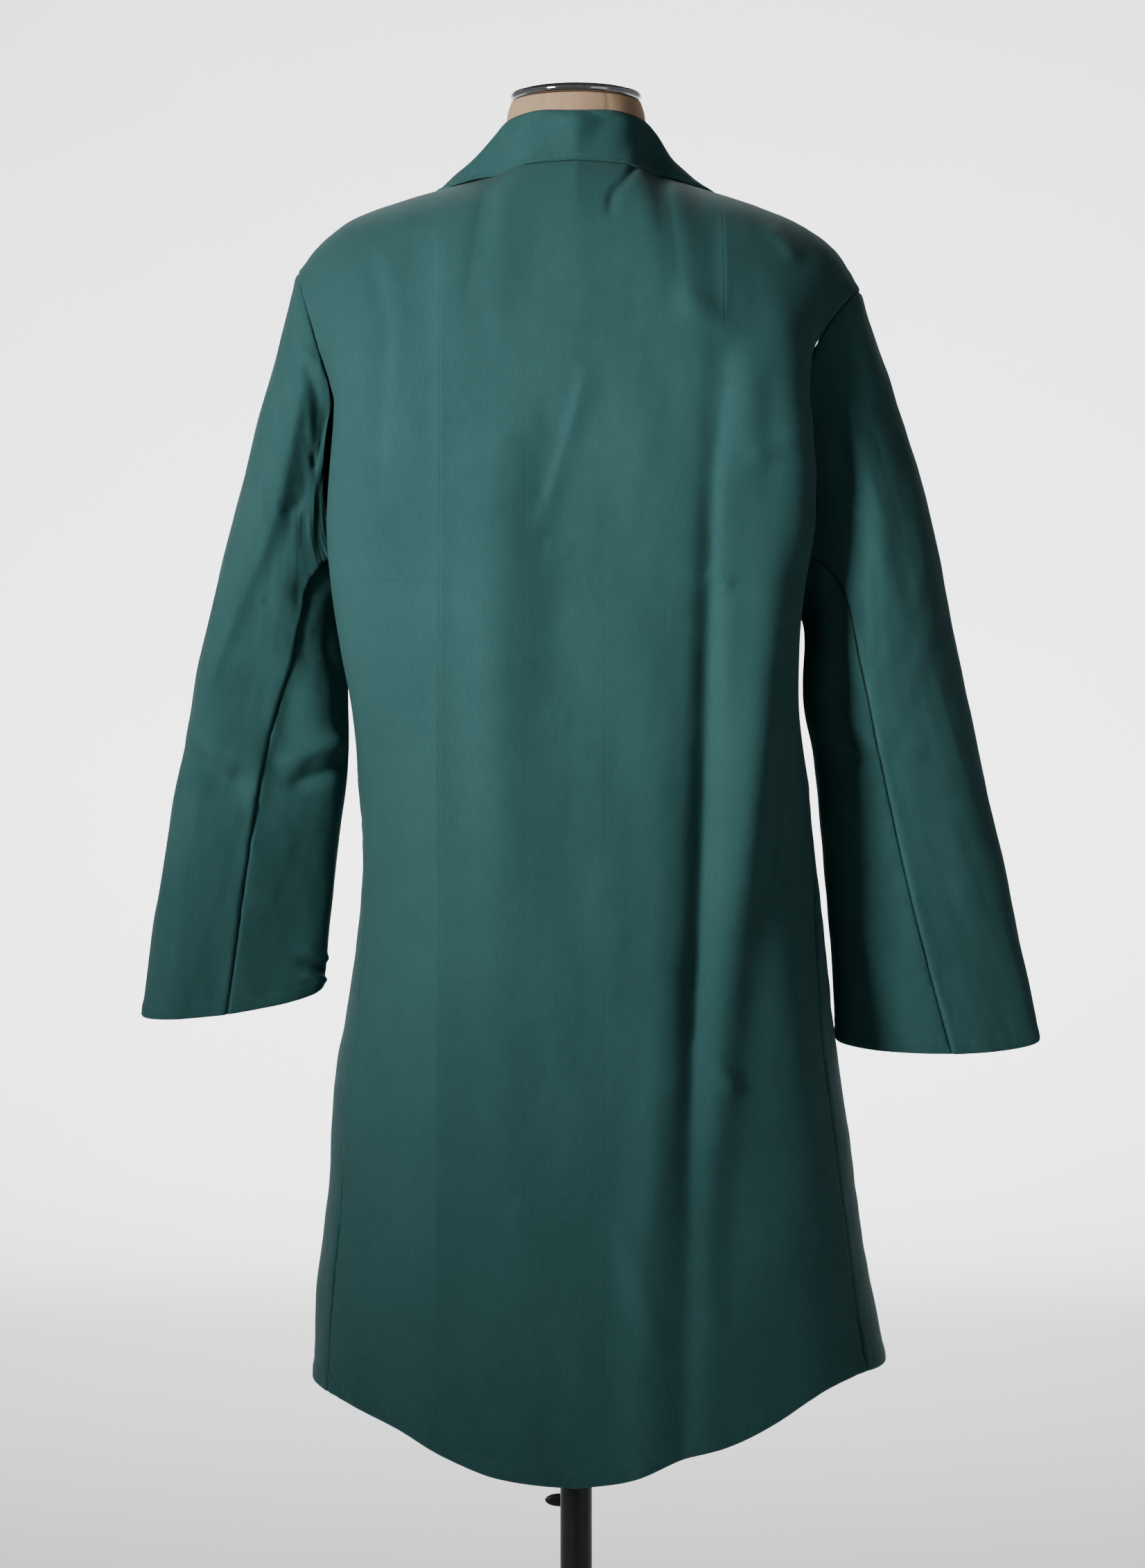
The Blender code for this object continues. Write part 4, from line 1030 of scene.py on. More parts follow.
@dataclass(frozen=True)
class Effect:
    """A shader node group with named inputs and outputs, made once and used by several finishes."""

    name: str
    inputs: tuple[tuple[str, str, object], ...]
    outputs: tuple[str, ...]

    def tree(self) -> bpy.types.NodeTree:
        """The group, made the first time it is asked for."""
        made = bpy.data.node_groups.get(self.name)
        if made:
            return made
        made = bpy.data.node_groups.new(self.name, "ShaderNodeTree")
        for name, kind, value in self.inputs:
            socket = made.interface.new_socket(name=name, in_out="INPUT", socket_type="NodeSocket" + kind)
            if value is not None:
                socket.default_value = value
        for name in self.outputs:
            made.interface.new_socket(name=name, in_out="OUTPUT", socket_type="NodeSocketFloat")
        given, wanted = made.nodes.new("NodeGroupInput"), made.nodes.new("NodeGroupOutput")
        self.wire(Tree(made), given.outputs, wanted.inputs)
        return made

    def wire(self, tree: Tree, given: dict[str, Socket], wanted: dict[str, Socket]) -> None:
        """Make the group's nodes; each effect has its own."""
        raise NotImplementedError

    def use(self, tree: Tree, **values: object) -> bpy.types.NodeOutputs:
        """Place the group in a material's tree with its own values.

        Args:
            tree: the material's tree.
            values: sockets or numbers for the inputs, by name with _ for spaces.

        Returns:
            The group's outputs.
        """
        node = tree.add("Group", {}, node_tree=self.tree())
        for name, value in values.items():
            socket = node.inputs[name.replace("_", " ")]
            if isinstance(value, bpy.types.NodeSocket):
                tree.tree.links.new(value, socket)
            else:
                socket.default_value = value
        return node.outputs


class Twill(Effect):
    """Twill: slanted ribs, sin((x + y) / pitch), crossed by finer yarns and broken by noise."""

    def wire(self, tree: Tree, given: dict[str, Socket], wanted: dict[str, Socket]) -> None:
        """Ribs and yarns are sine waves of the flat place, each 0 to 1."""
        sway = tree.math("MULTIPLY", tree.noise(given["Place"], 240.0), given["Pitch"])
        part = tree.add("SeparateXYZ", {0: given["Place"]}).outputs
        slant = tree.math("ADD", tree.math("ADD", part[0], part[1]), sway)
        rib = tree.math("SINE", tree.math("MULTIPLY", tree.math("DIVIDE", slant, given["Pitch"]),
                                          2 * math.pi))
        cross = tree.math("SUBTRACT", part[0], tree.math("MULTIPLY", part[1], 1.7))
        yarn = tree.math("SINE", tree.math("MULTIPLY", tree.math("DIVIDE", cross, given["Pitch"]),
                                           2 * math.pi * 1.3))
        both = tree.math("ADD", tree.math("MULTIPLY", rib, 0.34), tree.math("MULTIPLY", yarn, 0.16))
        tree.tree.links.new(tree.math("ADD", both, 0.5), wanted["Height"])
        slub = tree.noise(tree.add("Mapping", {0: given["Place"], 3: (1.0, 0.08, 1.0)}).outputs[0],
                          900.0, 1.0)
        shade = tree.math("ADD", tree.math("MULTIPLY", both, 0.5), slub)
        tree.tree.links.new(tree.span(shade, 0.2, 0.8), wanted["Shade"])


class PlainWeave(Effect):
    """Plain weave: warp and weft, each the size of a sine wave, over and under by turns."""

    def wire(self, tree: Tree, given: dict[str, Socket], wanted: dict[str, Socket]) -> None:
        """Each yarn swells by half a sine wave; a long noise along it makes slubs."""
        part = tree.add("SeparateXYZ", {0: given["Place"]}).outputs
        waves_of = [tree.math("ABSOLUTE", tree.math("SINE", tree.math(
            "MULTIPLY", tree.math("DIVIDE", one, given["Pitch"]), math.pi))) for one in (part[0], part[1])]
        over = tree.math("MULTIPLY", waves_of[0], waves_of[1])
        slubs = [tree.noise(tree.add("Mapping", {0: given["Place"], 3: scale}).outputs[0], 700.0, 2.0)
                 for scale in ((1.0, 0.05, 1.0), (0.05, 1.0, 1.0))]
        slub = tree.math("MULTIPLY", tree.math("ADD", slubs[0], slubs[1]), 0.5)
        tree.tree.links.new(tree.math("ADD", over, tree.math("MULTIPLY", slub, 0.6)), wanted["Height"])
        shade = tree.math("ADD", tree.math("MULTIPLY", over, 0.3), tree.math("MULTIPLY", slub, 1.1))
        tree.tree.links.new(tree.span(shade, 0.35, 0.95), wanted["Shade"])


class Mottle(Effect):
    """Slow, uneven change of a finish over the piece, from two sizes of noise."""

    def wire(self, tree: Tree, given: dict[str, Socket], wanted: dict[str, Socket]) -> None:
        """A wide noise and a finer one, weighed 2 to 1."""
        place = tree.add("VectorMath", {0: given["Place"], 3: given["Scale"]}, operation="SCALE").outputs[0]
        both = tree.math("ADD", tree.math("MULTIPLY", tree.noise(place, 1.0), 0.67),
                         tree.math("MULTIPLY", tree.noise(place, 5.3, 3.0), 0.33))
        tree.tree.links.new(tree.span(both, 0.3, 0.7), wanted["Value"])


class Rub(Effect):
    """Rubbed edges: the worn measure, broken up by fine noise."""

    def wire(self, tree: Tree, given: dict[str, Socket], wanted: dict[str, Socket]) -> None:
        """Worn times noise, past a small threshold."""
        grain = tree.noise(given["Place"], 420.0, 3.0)
        tree.tree.links.new(tree.span(tree.math("MULTIPLY", given["Worn"], grain), 0.18, 0.62),
                            wanted["Mask"])


class PressedLine(Effect):
    """A sharp line pressed into cloth, at a distance d from a straight run: exp(-|d| / width)."""

    def wire(self, tree: Tree, given: dict[str, Socket], wanted: dict[str, Socket]) -> None:
        """d is the cross product with the run's direction; the line fades at both ends."""
        part = tree.add("SeparateXYZ", {0: given["Place"]}).outputs
        x = tree.math("SUBTRACT", part[0], given["Start X"])
        z = tree.math("SUBTRACT", part[2], given["Start Z"])
        away = tree.math("SUBTRACT", tree.math("MULTIPLY", x, given["Turn Z"]),
                         tree.math("MULTIPLY", z, given["Turn X"]))
        run = tree.math("ADD", tree.math("MULTIPLY", x, given["Turn X"]),
                        tree.math("MULTIPLY", z, given["Turn Z"]))
        bend = tree.math("MULTIPLY", tree.math("SUBTRACT", tree.noise(given["Place"], 22.0), 0.5), 0.0022)
        away = tree.math("ABSOLUTE", tree.math("ADD", away, bend))
        shape = tree.math("EXPONENT", tree.math("MULTIPLY", tree.math("DIVIDE", away, given["Width"]),
                                                -1.0))
        ends = tree.math("MULTIPLY", tree.span(run, 0.0, 0.02),
                         tree.span(tree.math("SUBTRACT", given["Length"], run), 0.0, 0.02))
        patchy = tree.span(tree.noise(given["Place"], 38.0), 0.3, 0.6, 0.45, 1.0)
        shape = tree.math("MULTIPLY", tree.math("MULTIPLY", shape, ends), patchy)
        tree.tree.links.new(shape, wanted["Height"])


TWILL = Twill("twill", (("Place", "Vector", None), ("Pitch", "Float", 0.0008)), ("Height", "Shade"))
PLAIN_WEAVE = PlainWeave("plain weave", (("Place", "Vector", None), ("Pitch", "Float", 0.0007)),
                         ("Height", "Shade"))
MOTTLE = Mottle("mottle", (("Place", "Vector", None), ("Scale", "Float", 10.0)), ("Value",))
RUB = Rub("rub", (("Place", "Vector", None), ("Worn", "Float", 0.0)), ("Mask",))
PRESSED_LINE = PressedLine("pressed line", (
    ("Place", "Vector", None), ("Start X", "Float", 0.0), ("Start Z", "Float", 0.0),
    ("Turn X", "Float", 0.0), ("Turn Z", "Float", 1.0), ("Length", "Float", 1.0),
    ("Width", "Float", 0.001)), ("Height",))


@dataclass(frozen=True)
class PressLine:
    """A straight line pressed into a panel, in metres of X and Z; a negative depth is a ridge."""

    start: tuple[float, float]
    end: tuple[float, float]
    depth: float
    width: float = 0.0009

    def height(self, tree: Tree, place: Socket) -> Socket:
        """The line's height in metres, from its group."""
        dx, dz = self.end[0] - self.start[0], self.end[1] - self.start[1]
        length = math.hypot(dx, dz)
        line = PRESSED_LINE.use(tree, Place=place, Start_X=self.start[0], Start_Z=self.start[1],
                                Turn_X=dx / length, Turn_Z=dz / length, Length=length,
                                Width=self.width)
        return tree.math("MULTIPLY", line["Height"], -self.depth)


Colour = tuple[float, float, float]


def blank(name: str) -> tuple[bpy.types.Material, Tree, bpy.types.Node]:
    """A material with its tree and its shader, which has no links yet."""
    made = bpy.data.materials.new(name)
    made.use_nodes = True
    return made, Tree(made.node_tree), made.node_tree.nodes["Principled BSDF"]


def full(colour: Colour) -> tuple[float, float, float, float]:
    """A colour with its alpha."""
    return (*colour, 1.0)


@dataclass(frozen=True)
class CoatCloth:
    """Matte dark teal twill of cotton and polyester, a little paler where it rubs."""

    name: str
    lines: tuple[PressLine, ...] = ()
    deep: Colour = (0.0235, 0.0860, 0.0850)
    pale: Colour = (0.0350, 0.1180, 0.1160)
    rubbed: Colour = (0.075, 0.200, 0.196)
    pitch: float = 0.00085
    rib: float = 0.00011
    rough: float = 0.86
    sheen: float = 0.06

    def material(self) -> bpy.types.Material:
        """Colour from the yarns' shade and a slow mottle, height from ribs, fuzz and pressed lines."""
        made, tree, shader = blank(self.name)
        flat = tree.add("UVMap", uv_map="cut").outputs[0]
        place = tree.add("TexCoord").outputs["Object"]
        worn = tree.add("Attribute", attribute_name="worn").outputs["Fac"]
        weave = TWILL.use(tree, Place=flat, Pitch=self.pitch)
        slow = MOTTLE.use(tree, Place=place, Scale=9.0)["Value"]
        shade = tree.math("ADD", tree.math("MULTIPLY", weave["Shade"], 0.55),
                          tree.math("MULTIPLY", slow, 0.45))
        colour = tree.blend(shade, full(self.deep), full(self.pale))
        rub = RUB.use(tree, Place=place, Worn=worn)["Mask"]
        colour = tree.blend(tree.math("MULTIPLY", rub, 0.5), colour, full(self.rubbed))
        fuzz = tree.math("MULTIPLY", tree.noise(place, 2600.0, 2.0), 0.00005)
        height = tree.math("ADD", tree.math("MULTIPLY", weave["Height"], self.rib), fuzz)
        soft = tree.math("MULTIPLY", tree.noise(place, 130.0, 3.0), 0.00022)
        height = tree.math("ADD", height, soft)
        for line in self.lines:
            height = tree.math("ADD", height, line.height(tree, place))
        bump = tree.add("Bump", {"Height": height, "Distance": 1.0, "Strength": 0.85})
        links = {"Base Color": colour, "Normal": bump.outputs[0],
                 "Roughness": tree.span(shade, 0, 1, self.rough + 0.05, self.rough - 0.05)}
        for name, value in links.items():
            tree.tree.links.new(value, shader.inputs[name])
        shader.inputs["Sheen Weight"].default_value = self.sheen
        shader.inputs["Sheen Roughness"].default_value = 0.45
        shader.inputs["Specular IOR Level"].default_value = 0.30
        return made


@dataclass(frozen=True)
class Linen:
    """Natural linen stretched over the form: a plain weave of warm, slubby yarns."""

    name: str = "linen"
    deep: Colour = (0.500, 0.302, 0.168)
    pale: Colour = (0.790, 0.545, 0.350)
    pitch: float = 0.00075
    rough: float = 0.9

    def material(self) -> bpy.types.Material:
        """Colour and height from the weave, over a slow mottle."""
        made, tree, shader = blank(self.name)
        flat = tree.add("UVMap", uv_map="cut").outputs[0]
        place = tree.add("TexCoord").outputs["Object"]
        weave = PLAIN_WEAVE.use(tree, Place=flat, Pitch=self.pitch)
        slow = MOTTLE.use(tree, Place=place, Scale=14.0)["Value"]
        shade = tree.math("ADD", tree.math("MULTIPLY", weave["Shade"], 0.75),
                          tree.math("MULTIPLY", slow, 0.25))
        bump = tree.add("Bump", {"Height": tree.math("MULTIPLY", weave["Height"], 0.00016),
                                 "Distance": 1.0, "Strength": 0.8})
        links = {"Base Color": tree.blend(shade, full(self.deep), full(self.pale)),
                 "Normal": bump.outputs[0],
                 "Roughness": tree.span(shade, 0, 1, self.rough + 0.05, self.rough - 0.08)}
        for name, value in links.items():
            tree.tree.links.new(value, shader.inputs[name])
        shader.inputs["Sheen Weight"].default_value = 0.12
        shader.inputs["Specular IOR Level"].default_value = 0.25
        return made


@dataclass(frozen=True)
class Hard:
    """A hard finish: metal, paint or resin, with fine unevenness in its gloss and surface."""

    name: str
    deep: Colour
    pale: Colour
    metal: float
    gloss: tuple[float, float]
    grain: float
    grain_scale: float
    mottle: float = 16.0
    coat: float = 0.0

    def material(self) -> bpy.types.Material:
        """Colour and roughness run between two values by a slow mottle; fine noise gives the grain."""
        made, tree, shader = blank(self.name)
        place = tree.add("TexCoord").outputs["Object"]
        slow = MOTTLE.use(tree, Place=place, Scale=self.mottle)["Value"]
        grain = tree.noise(place, self.grain_scale, 3.0)
        bump = tree.add("Bump", {"Height": tree.math("MULTIPLY", grain, self.grain), "Distance": 1.0,
                                 "Strength": 0.6})
        links = {"Base Color": tree.blend(slow, full(self.deep), full(self.pale)),
                 "Normal": bump.outputs[0],
                 "Roughness": tree.span(tree.math("ADD", tree.math("MULTIPLY", slow, 0.6),
                                                  tree.math("MULTIPLY", grain, 0.4)), 0.2, 0.8,
                                        *self.gloss)}
        for name, value in links.items():
            tree.tree.links.new(value, shader.inputs[name])
        shader.inputs["Metallic"].default_value = self.metal
        shader.inputs["Coat Weight"].default_value = self.coat
        return made


CHROME = Hard("chrome", (0.58, 0.58, 0.59), (0.66, 0.66, 0.67), 1.0, (0.05, 0.12), 0.00001, 500.0)
BLACK_STEEL = Hard("black steel", (0.014, 0.014, 0.016), (0.022, 0.022, 0.024), 0.0, (0.36, 0.52),
                   0.00006, 900.0)
RESIN = Hard("button resin", (0.010, 0.042, 0.040), (0.028, 0.090, 0.086), 0.0, (0.22, 0.38),
             0.00002, 700.0, mottle=120.0, coat=0.3)
THREAD = Hard("thread", (0.036, 0.120, 0.116), (0.056, 0.165, 0.160), 0.0, (0.60, 0.78), 0.00008,
              3000.0, mottle=300.0)
FLOOR = Hard("studio floor", (0.440, 0.442, 0.448), (0.460, 0.462, 0.466), 0.0, (0.80, 0.92), 0.00010,
             160.0, mottle=0.8)


# ---- the coat's pieces --------------------------------------------------------------------------


@dataclass(frozen=True)
class Cut:
    """What a piece was cut to: the rectangle round it and its flat area, in metres."""

    width: float
    length: float
    area: float

    def declare(self, piece: bpy.types.Object, held: str, rests_on: tuple[str, ...]) -> None:
        """Take the piece, what holds it and what it rests on; nothing is done with them."""


def dress_coat(piece: bpy.types.Object, node: str) -> bpy.types.Object:
    """Set a finished piece of the coat in its node's place, on the form."""
    return take_place(piece, node, "form")


def body_rows(body: BodyShape, face: Face, count: int) -> Array:
    """Rows of a body panel, even along the mean of its centre line and its two sides."""
    places = np.linspace(0, 3, 1201)
    curves = [body.point(np.full_like(places, t), places, side, face)
              for t, side in ((0.0, Side.LEFT), (1.0, Side.LEFT), (1.0, Side.RIGHT))]
    return even_places(curves, places, count, (0.005, 0.006))


# Lines and folds of the back, in the view from behind
BACK_LINES = (
    PressLine((0.1087, 1.451), (0.1087, 0.452), 0.00045),
    PressLine((0.0400, 1.300), (0.0400, 0.470), 0.00012),
    PressLine((-0.0230, 1.150), (-0.0230, 0.500), 0.00016),
    PressLine((-0.0719, 1.145), (-0.0719, 1.100), 0.00030),
    PressLine((-0.1190, 1.470), (-0.1190, 1.352), 0.00040),
    PressLine((0.1840, 1.1655), (0.1090, 1.147), 0.00035),
    PressLine((-0.1100, 1.1545), (-0.1320, 1.1545), 0.00030),
    PressLine((0.0400, 0.893), (0.0020, 0.893), 0.00030),
    PressLine((0.0527, 0.798), (-0.0088, 0.798), 0.00030),
)
BACK_CREASES = (
    Fold(((0.1087, 1.451), (0.1087, 0.452)), 0.0070, 0.0017, Profile.PRESSED, 0.3, 0.04, 0.25, 0.2),
    Fold(((-0.1190, 1.470), (-0.1190, 1.352)), 0.0050, 0.0010, Profile.PRESSED, 0.3),
    Fold(((-0.1210, 1.370), (-0.1170, 1.308), (-0.1090, 1.226), (-0.1080, 1.116), (-0.1065, 1.006),
          (-0.1035, 0.8965), (-0.0950, 0.787), (-0.0900, 0.677), (-0.0850, 0.560)), 0.0090, -0.0045,
         Profile.SOFT, -0.3, 0.2, 0.35, 0.15),
    Fold(((-0.0930, 1.200), (-0.0920, 1.000), (-0.0850, 0.780)), 0.0200, -0.0022, Profile.SOFT, 0.0, 0.3,
         0.3, 0.1),
    Fold(((-0.1560, 1.260), (-0.1540, 1.116), (-0.1400, 1.006), (-0.1290, 0.8965), (-0.1200, 0.800)),
         0.0170, 0.0050, Profile.SOFT, 0.0, 0.35, 0.45, 0.15),
    Fold(((-0.1560, 1.410), (-0.1680, 1.320), (-0.1760, 1.220), (-0.1680, 1.090)), 0.0200, 0.0080,
         Profile.SOFT, 0.0, 0.35, 0.5, 0.1),
    Fold(((-0.1400, 1.370), (-0.1380, 1.300), (-0.1350, 1.210)), 0.0150, 0.0046, Profile.SOFT, 0.0, 0.4,
         0.5, 0.1),
    Fold(((0.0660, 1.330), (0.0620, 1.120), (0.0590, 0.850)), 0.0290, 0.0048, Profile.SOFT, 0.0, 0.3, 0.4,
         0.1),
    Fold(((-0.0690, 0.960), (-0.0650, 0.760), (-0.0590, 0.560)), 0.0150, 0.0026, Profile.SOFT, 0.0, 0.35,
         0.2),
    Fold(((-0.1300, 0.960), (-0.1290, 0.760), (-0.1240, 0.540)), 0.0260, -0.0045, Profile.SOFT, 0.0, 0.35,
         0.2),
    Fold(((-0.1600, 1.010), (-0.1640, 0.960), (-0.1580, 0.905), (-0.1490, 0.869)), 0.0035, 0.0010,
         Profile.PRESSED),
    Fold(((0.1650, 0.817), (0.1430, 0.796)), 0.0120, 0.0018),
    Fold(((0.1620, 0.778), (0.1350, 0.752)), 0.0130, -0.0016),
    Fold(((-0.0143, 1.340), (0.0080, 1.262), (0.0335, 1.176)), 0.0075, 0.0020, Profile.SOFT, 0.3),
    Fold(((0.0210, 1.280), (0.0763, 1.252)), 0.0100, 0.0014),
    Fold(((-0.0470, 1.4900), (-0.0390, 1.4765), (-0.0300, 1.4655), (-0.0265, 1.4400)), 0.0042, -0.0030,
         Profile.SOFT, 0.2, 0.0, 0.4),
    Fold(((-0.0895, 0.785), (-0.1080, 0.768), (-0.1307, 0.738)), 0.0060, 0.0022),
    Fold(((-0.0330, 0.653), (-0.0675, 0.5265)), 0.0090, 0.0018),
    Fold(((-0.0230, 0.6275), (-0.0456, 0.539)), 0.0080, -0.0012),
    Fold(((0.1700, 1.430), (0.1600, 1.396), (0.1610, 1.193)), 0.0080, -0.0026, Profile.SOFT, -0.3,
         0.2, 0.4),
    Fold(((0.1268, 1.440), (0.1300, 1.350)), 0.0180, -0.0024),
    Fold(((-0.0791, 1.3906), (-0.0983, 1.3686), (-0.1312, 1.3412)), 0.0120, 0.0026),
    Fold(((-0.1532, 1.4455), (-0.1834, 1.4098)), 0.0080, 0.0022),
    Fold(((-0.1312, 1.2451), (-0.1806, 1.2698)), 0.0100, 0.0022),
    Fold(((-0.1038, 1.160), (-0.1257, 1.1435)), 0.0080, 0.0020),
    Fold(((0.1840, 1.1655), (0.1090, 1.147)), 0.0050, 0.0008, Profile.PRESSED),
)
BUTTON_MARKS = ((0.0137, 1.1754), (0.0137, 1.0425), (0.0126, 0.7686))   # pressed through from the front


@dataclass(frozen=True)
class BackPanel:
    """The coat's back: one piece from side seam to side seam, with a curved hem."""

    body: BodyShape
    finish: bpy.types.Material
    rows: int = 345
    columns: int = 209
    hem_turn: float = 0.013
    mark_radius: float = 0.0095
    mark_height: float = 0.0006
    swell: float = 0.0011
    ripple: float = 0.0002
    fold_start: float = 0.24
    fold_fade: tuple[float, float] = (0.45, 0.80)
    crease_inset: float = 0.018
    calm_top: float = 0.05
    cut: Cut = Cut(0.56, 1.10, 0.53)

    def point(self, share: Array, w: Array) -> Array:
        """Point of the back; share runs from the right side (-1) to the left (1)."""
        share, w = np.broadcast_arrays(share, w)
        t = np.abs(share) * self.body.side_seam(w)
        halves = [self.body.point(t, w, side, Face.BACK) for side in (Side.RIGHT, Side.LEFT)]
        return np.where((share < 0)[..., None], *halves)

    def grid(self) -> ClothGrid:
        """The back's base surface, from the hem to the top, and from right to left."""
        w = body_rows(self.body, Face.BACK, self.rows)
        places = np.linspace(-1, 1, 1201)
        curves = [self.point(places, np.full_like(places, row)) for row in (0.2, 1.0, 2.2)]
        share = even_places(curves, places, self.columns, (0.006, 0.006))
        return ClothGrid("coat_back", self.point(share[None, :], w[:, None]), flip=True)

    def folds(self, points: Array) -> Array:
        """Height of the large folds: ridges along slanted lines that grow from their tops."""
        x, z = points[..., 0], points[..., 2]
        total = np.zeros_like(x)
        for row in BACK_FOLDS:
            fold = dict(zip(BACK_FOLD_COLUMNS, row))
            way = np.clip((fold["z top"] - z) / (fold["z top"] - fold["z foot"]), 0, 1)
            line = fold["x top"] + (fold["x foot"] - fold["x top"]) * way
            lost = (1 - fold["foot"]) * ease(way, *self.fold_fade)
            fade = ease(way, 0.0, self.fold_start) * (1 - lost)
            total += fold["height"] * fade * np.exp(-((x - line) / fold["half width"]) ** 2)
        return total

    def marks(self, points: Array) -> Array:
        """Round marks where the front's buttons were pressed through: exp(-r^6), raised at its rim."""
        total = np.zeros(points.shape[:2])
        for x, z in BUTTON_MARKS:
            r = np.hypot(points[..., 0] - x, points[..., 2] - z) / self.mark_radius
            total += self.mark_height * np.exp(-r ** 6) * (0.55 + r ** 2)
        return total

    def build(self) -> tuple[bpy.types.Object, list[tuple[Array, Array]]]:
        """The finished back, and the line of its hem stitches."""
        grid = self.grid()
        x, z = grid.points[..., 0], grid.points[..., 2]
        seen = ease(grid.normals[..., 1], 0.05, 0.40)
        inside = ease(np.minimum(grid.distance(Edge.FIRST_COLUMN), grid.distance(Edge.LAST_COLUMN)),
                      0.0, self.crease_inset)
        grid.lift += self.folds(grid.points) + folds_height(BACK_CREASES, grid.points, seen * inside)
        grid.lift += self.marks(grid.points)
        calm = ease(grid.distance(Edge.LAST_ROW), 0.0, self.calm_top)
        grid.lift += calm * self.swell * waves(x, z, 11, (0.040, 0.150), stretch=3.0)
        grid.lift += calm * self.ripple * waves(x, z, 12, (0.014, 0.040), stretch=3.0)
        for edge, seed in ((Edge.FIRST_COLUMN, 21), (Edge.LAST_COLUMN, 22)):
            grid.sew(edge, seed)
        grid.sew(Edge.LAST_ROW, 23)
        grid.turn_in(Edge.FIRST_ROW, 24, self.hem_turn, pucker=0.00045)
        piece = dress_coat(grid.build(self.finish), "coat_back")
        self.cut.declare(piece, "draped", ("torso",))
        return piece, [grid.edge_line(Edge.FIRST_ROW, self.hem_turn, 2, -2)]


@dataclass(frozen=True)
class FrontShape:
    """What both fronts and their lapels share: the lap, the roll line and the lapel's outline."""

    body: BodyShape
    lap_t: float = -0.075
    break_z: float = 1.200
    lapel_start: tuple[float, float] = (0.02, 0.26)
    lapel_foot_t: float = 0.012
    lapel_t: float = 0.26
    gorge_w: float = 2.80
    gorge_slant: float = 0.26
    lap_ease: float = 0.0010
    lapel_lift: float = 0.0030

    @property
    def foot(self) -> float:
        """Row at which the front opens into its lapel."""
        return self.body.row_at(self.break_z, Side.LEFT)

    def roll_t(self, w: Array) -> Array:
        """The front edge: past the centre line up to the break, then along the roll line."""
        way = np.clip((w - self.foot) / (3 - self.foot), 0, 1)
        return self.lap_t + (self.body.neck_t - self.lap_t) * way

    def under_lap(self, points: Array) -> Array:
        """How far the right front lies inside the left one: one wall and its ease at the centre."""
        near = ease(points[..., 0], -0.075, -0.030)
        below = np.clip((1.40 - points[..., 2]) / 0.08, 0, 1)
        return (CLOTH + self.lap_ease) * near * below


FRONT_CREASES = {
    Side.LEFT: (
        Fold(((0.118, 1.430), (0.112, 1.100), (0.116, 0.560)), 0.0060, 0.0012, Profile.PRESSED, 0.3, 0.05,
             0.05, 0.2),
        Fold(((0.150, 1.260), (0.120, 1.190), (0.100, 1.060)), 0.0120, 0.0026),
        Fold(((0.165, 1.180), (0.090, 1.120)), 0.0100, 0.0018),
        Fold(((0.130, 1.000), (0.142, 0.780), (0.150, 0.500)), 0.0180, 0.0046, Profile.SOFT, 0.3, 0.4, 0.0),
        Fold(((0.098, 0.960), (0.100, 0.760), (0.104, 0.500)), 0.0150, -0.0036, Profile.SOFT, 0.0, 0.4, 0.0),
        Fold(((0.050, 0.740), (0.060, 0.500)), 0.0160, 0.0022, Profile.SOFT, 0.2, 0.4, 0.0)),
    Side.RIGHT: (
        Fold(((-0.110, 1.430), (-0.114, 1.050), (-0.112, 0.560)), 0.0060, 0.0012, Profile.PRESSED, -0.3,
             0.05, 0.05, 0.2),
        Fold(((-0.145, 1.250), (-0.118, 1.180), (-0.104, 1.070)), 0.0120, 0.0024),
        Fold(((-0.160, 1.160), (-0.095, 1.130)), 0.0090, 0.0018),
        Fold(((-0.150, 1.020), (-0.165, 0.790), (-0.180, 0.500)), 0.0190, 0.0050, Profile.SOFT, 0.3, 0.4,
             0.0),
        Fold(((-0.110, 0.980), (-0.116, 0.760), (-0.120, 0.500)), 0.0150, -0.0040, Profile.SOFT, 0.0, 0.4,
             0.0),
        Fold(((-0.062, 0.720), (-0.070, 0.500)), 0.0150, 0.0020, Profile.SOFT, 0.2, 0.4, 0.0)),
}


